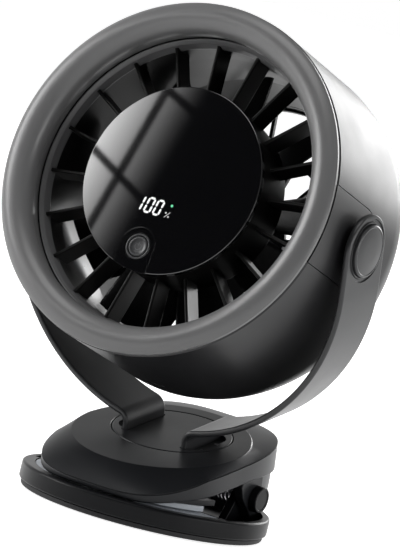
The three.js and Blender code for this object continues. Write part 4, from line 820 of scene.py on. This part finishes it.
paper = bpy.data.materials.new("floor_white")
paper.use_nodes = True
white = paper.node_tree.nodes["Principled BSDF"]
white.inputs["Base Color"].default_value = (0.8, 0.8, 0.8, 1)
white.inputs["Roughness"].default_value = 0.9
white.inputs["Specular IOR Level"].default_value = 0.1
white.inputs["Emission Color"].default_value = (0.78, 0.78, 0.78, 1)
paper.node_tree.links.new(seen_or_mirrored(paper.node_tree), white.inputs["Emission Strength"])
floor.data.materials.append(paper)


# The studio: white behind the fan, where the camera and the shine of its edges see it, and dim in
# front and overhead. Tall soft lamps behind and at both sides light the edges and the grey bezel.
world = bpy.data.worlds.new("studio")
room.world = world
world.use_nodes = True
tree = world.node_tree
nodes, links = tree.nodes, tree.links
place = nodes.new("ShaderNodeTexCoord")


def towards(direction, start, end, low, high):
    """A level that goes from low to high as a ray turns towards a direction."""
    along = nodes.new("ShaderNodeVectorMath")
    along.operation = "DOT_PRODUCT"
    along.inputs[1].default_value = direction
    links.new(place.outputs["Generated"], along.inputs[0])
    fade = nodes.new("ShaderNodeMapRange")
    fade.interpolation_type = "SMOOTHSTEP"
    for label, value in (("From Min", start), ("From Max", end), ("To Min", low), ("To Max", high)):
        fade.inputs[label].default_value = value
    links.new(along.outputs["Value"], fade.inputs["Value"])
    return fade.outputs["Result"]


def worked(how, first, second):
    """One sum of two values, each a number or what another node gives."""
    step = nodes.new("ShaderNodeMath")
    step.operation = how
    for k, value in enumerate((first, second)):
        if isinstance(value, float):
            step.inputs[k].default_value = value
        else:
            links.new(value, step.inputs[k])
    return step.outputs[0]


backdrop = worked("MULTIPLY", towards((-0.44, 0.9, 0), 0.25, 0.85, 0.0, 1.0), towards((0, 0, 1), 0.3, 0.6, 1.0, 0.12))
flag = towards((-0.5, -0.783, 0.37), 0.9, 0.965, 1.0, 0.04)
level = worked("MULTIPLY", worked("ADD", worked("MULTIPLY", backdrop, 0.75), 0.22), flag)
ray = nodes.new("ShaderNodeLightPath")
mirrored = worked("MAXIMUM", ray.outputs["Is Glossy Ray"], ray.outputs["Is Transmission Ray"])
white_share = worked("MAXIMUM", ray.outputs["Is Camera Ray"], worked("MULTIPLY", mirrored, backdrop))
seen = nodes.new("ShaderNodeMix")
seen.inputs["B"].default_value = 1.0
links.new(white_share, seen.inputs["Factor"])
links.new(level, seen.inputs["A"])
links.new(seen.outputs["Result"], nodes["Background"].inputs["Strength"])
nodes["Background"].inputs["Color"].default_value = (1, 1, 1, 1)


def soft_lamp(name, towards, distance, wide, high, radiance, target=(0, 0, 0.1)):
    """A flat lamp that shines at the fan from a direction, with an even brightness."""
    lamp = bpy.data.lights.new(name, "AREA")
    lamp.shape = "RECTANGLE"
    lamp.size, lamp.size_y = wide, high
    lamp.energy = radiance * math.pi * wide * high
    thing = bpy.data.objects.new(name, lamp)
    spot = Vector(target) + Vector(towards).normalized() * distance
    thing.matrix_world = Matrix.Translation(spot) @ Vector(towards).to_track_quat("Z", "Y").to_matrix().to_4x4()
    room.collection.objects.link(thing)
    return thing


soft_lamp("lamp_behind", (0.04, 0.965, 0.25), 1.6, 1.0, 0.4, 7.0)
soft_lamp("lamp_left", (-0.84, -0.44, 0.3), 1.4, 0.9, 0.6, 8.0)
soft_lamp("lamp_right", (0.96, 0.05, 0.14), 1.4, 1.2, 0.5, 4.5)
soft_lamp("lamp_above", (-0.1, -0.3, 0.95), 1.4, 0.9, 0.9, 3.0)


# A small paned window stands to the left of the camera, and shows in the display disc. Its light
# falls off to the right, and a post and two slanting rails cross it.
window = soft_lamp("lamp_window", (0, 0, 1), 0, 0.07, 0.12, 1.27)
sideways, upright = Vector((0.84252862, -0.53865157, 0)), Vector((0.19914144, 0.31148588, 0.92914974))
outwards = sideways.cross(upright)
middle = Vector((-0.01138, -0.04156, 0.124885)) + 0.4 * outwards - 0.010 * sideways + 0.015 * upright
window.matrix_world = Matrix.Translation(middle) @ Matrix((sideways, upright, outwards)).transposed().to_4x4()
window.data.use_nodes = True
nodes, links = window.data.node_tree.nodes, window.data.node_tree.links
pane = nodes.new("ShaderNodeNewGeometry")
split = nodes.new("ShaderNodeSeparateXYZ")
links.new(pane.outputs["Parametric"], split.inputs[0])
across = worked("SUBTRACT", worked("MULTIPLY", split.outputs["X"], 70.0), 45.0)
along = worked("SUBTRACT", worked("MULTIPLY", split.outputs["Y"], 120.0), 45.0)
root = worked("SUBTRACT", 0.13, worked("MULTIPLY", across, 0.0215))
glow = worked("POWER", worked("MAXIMUM", root, 0.0), 2.0)
post = worked("ADD", across, 13.0)
lower_rail = worked("ADD", worked("ADD", along, worked("MULTIPLY", across, 0.306)), 3.04)
upper_rail = worked("SUBTRACT", worked("ADD", along, worked("MULTIPLY", across, 0.203)), 45.77)
for bar_middle in (post, lower_rail, upper_rail):
    away = worked("ABSOLUTE", bar_middle, 0.0)
    if bar_middle is upper_rail:
        away = worked("MAXIMUM", away, worked("SUBTRACT", -13.0, across))
    clear = nodes.new("ShaderNodeMapRange")
    clear.interpolation_type = "SMOOTHSTEP"
    clear.inputs["From Min"].default_value = 1.5
    clear.inputs["From Max"].default_value = 2.7
    links.new(away, clear.inputs["Value"])
    glow = worked("MULTIPLY", glow, clear.outputs["Result"])
links.new(worked("MULTIPLY", glow, 10.5), nodes["Emission"].inputs["Strength"])
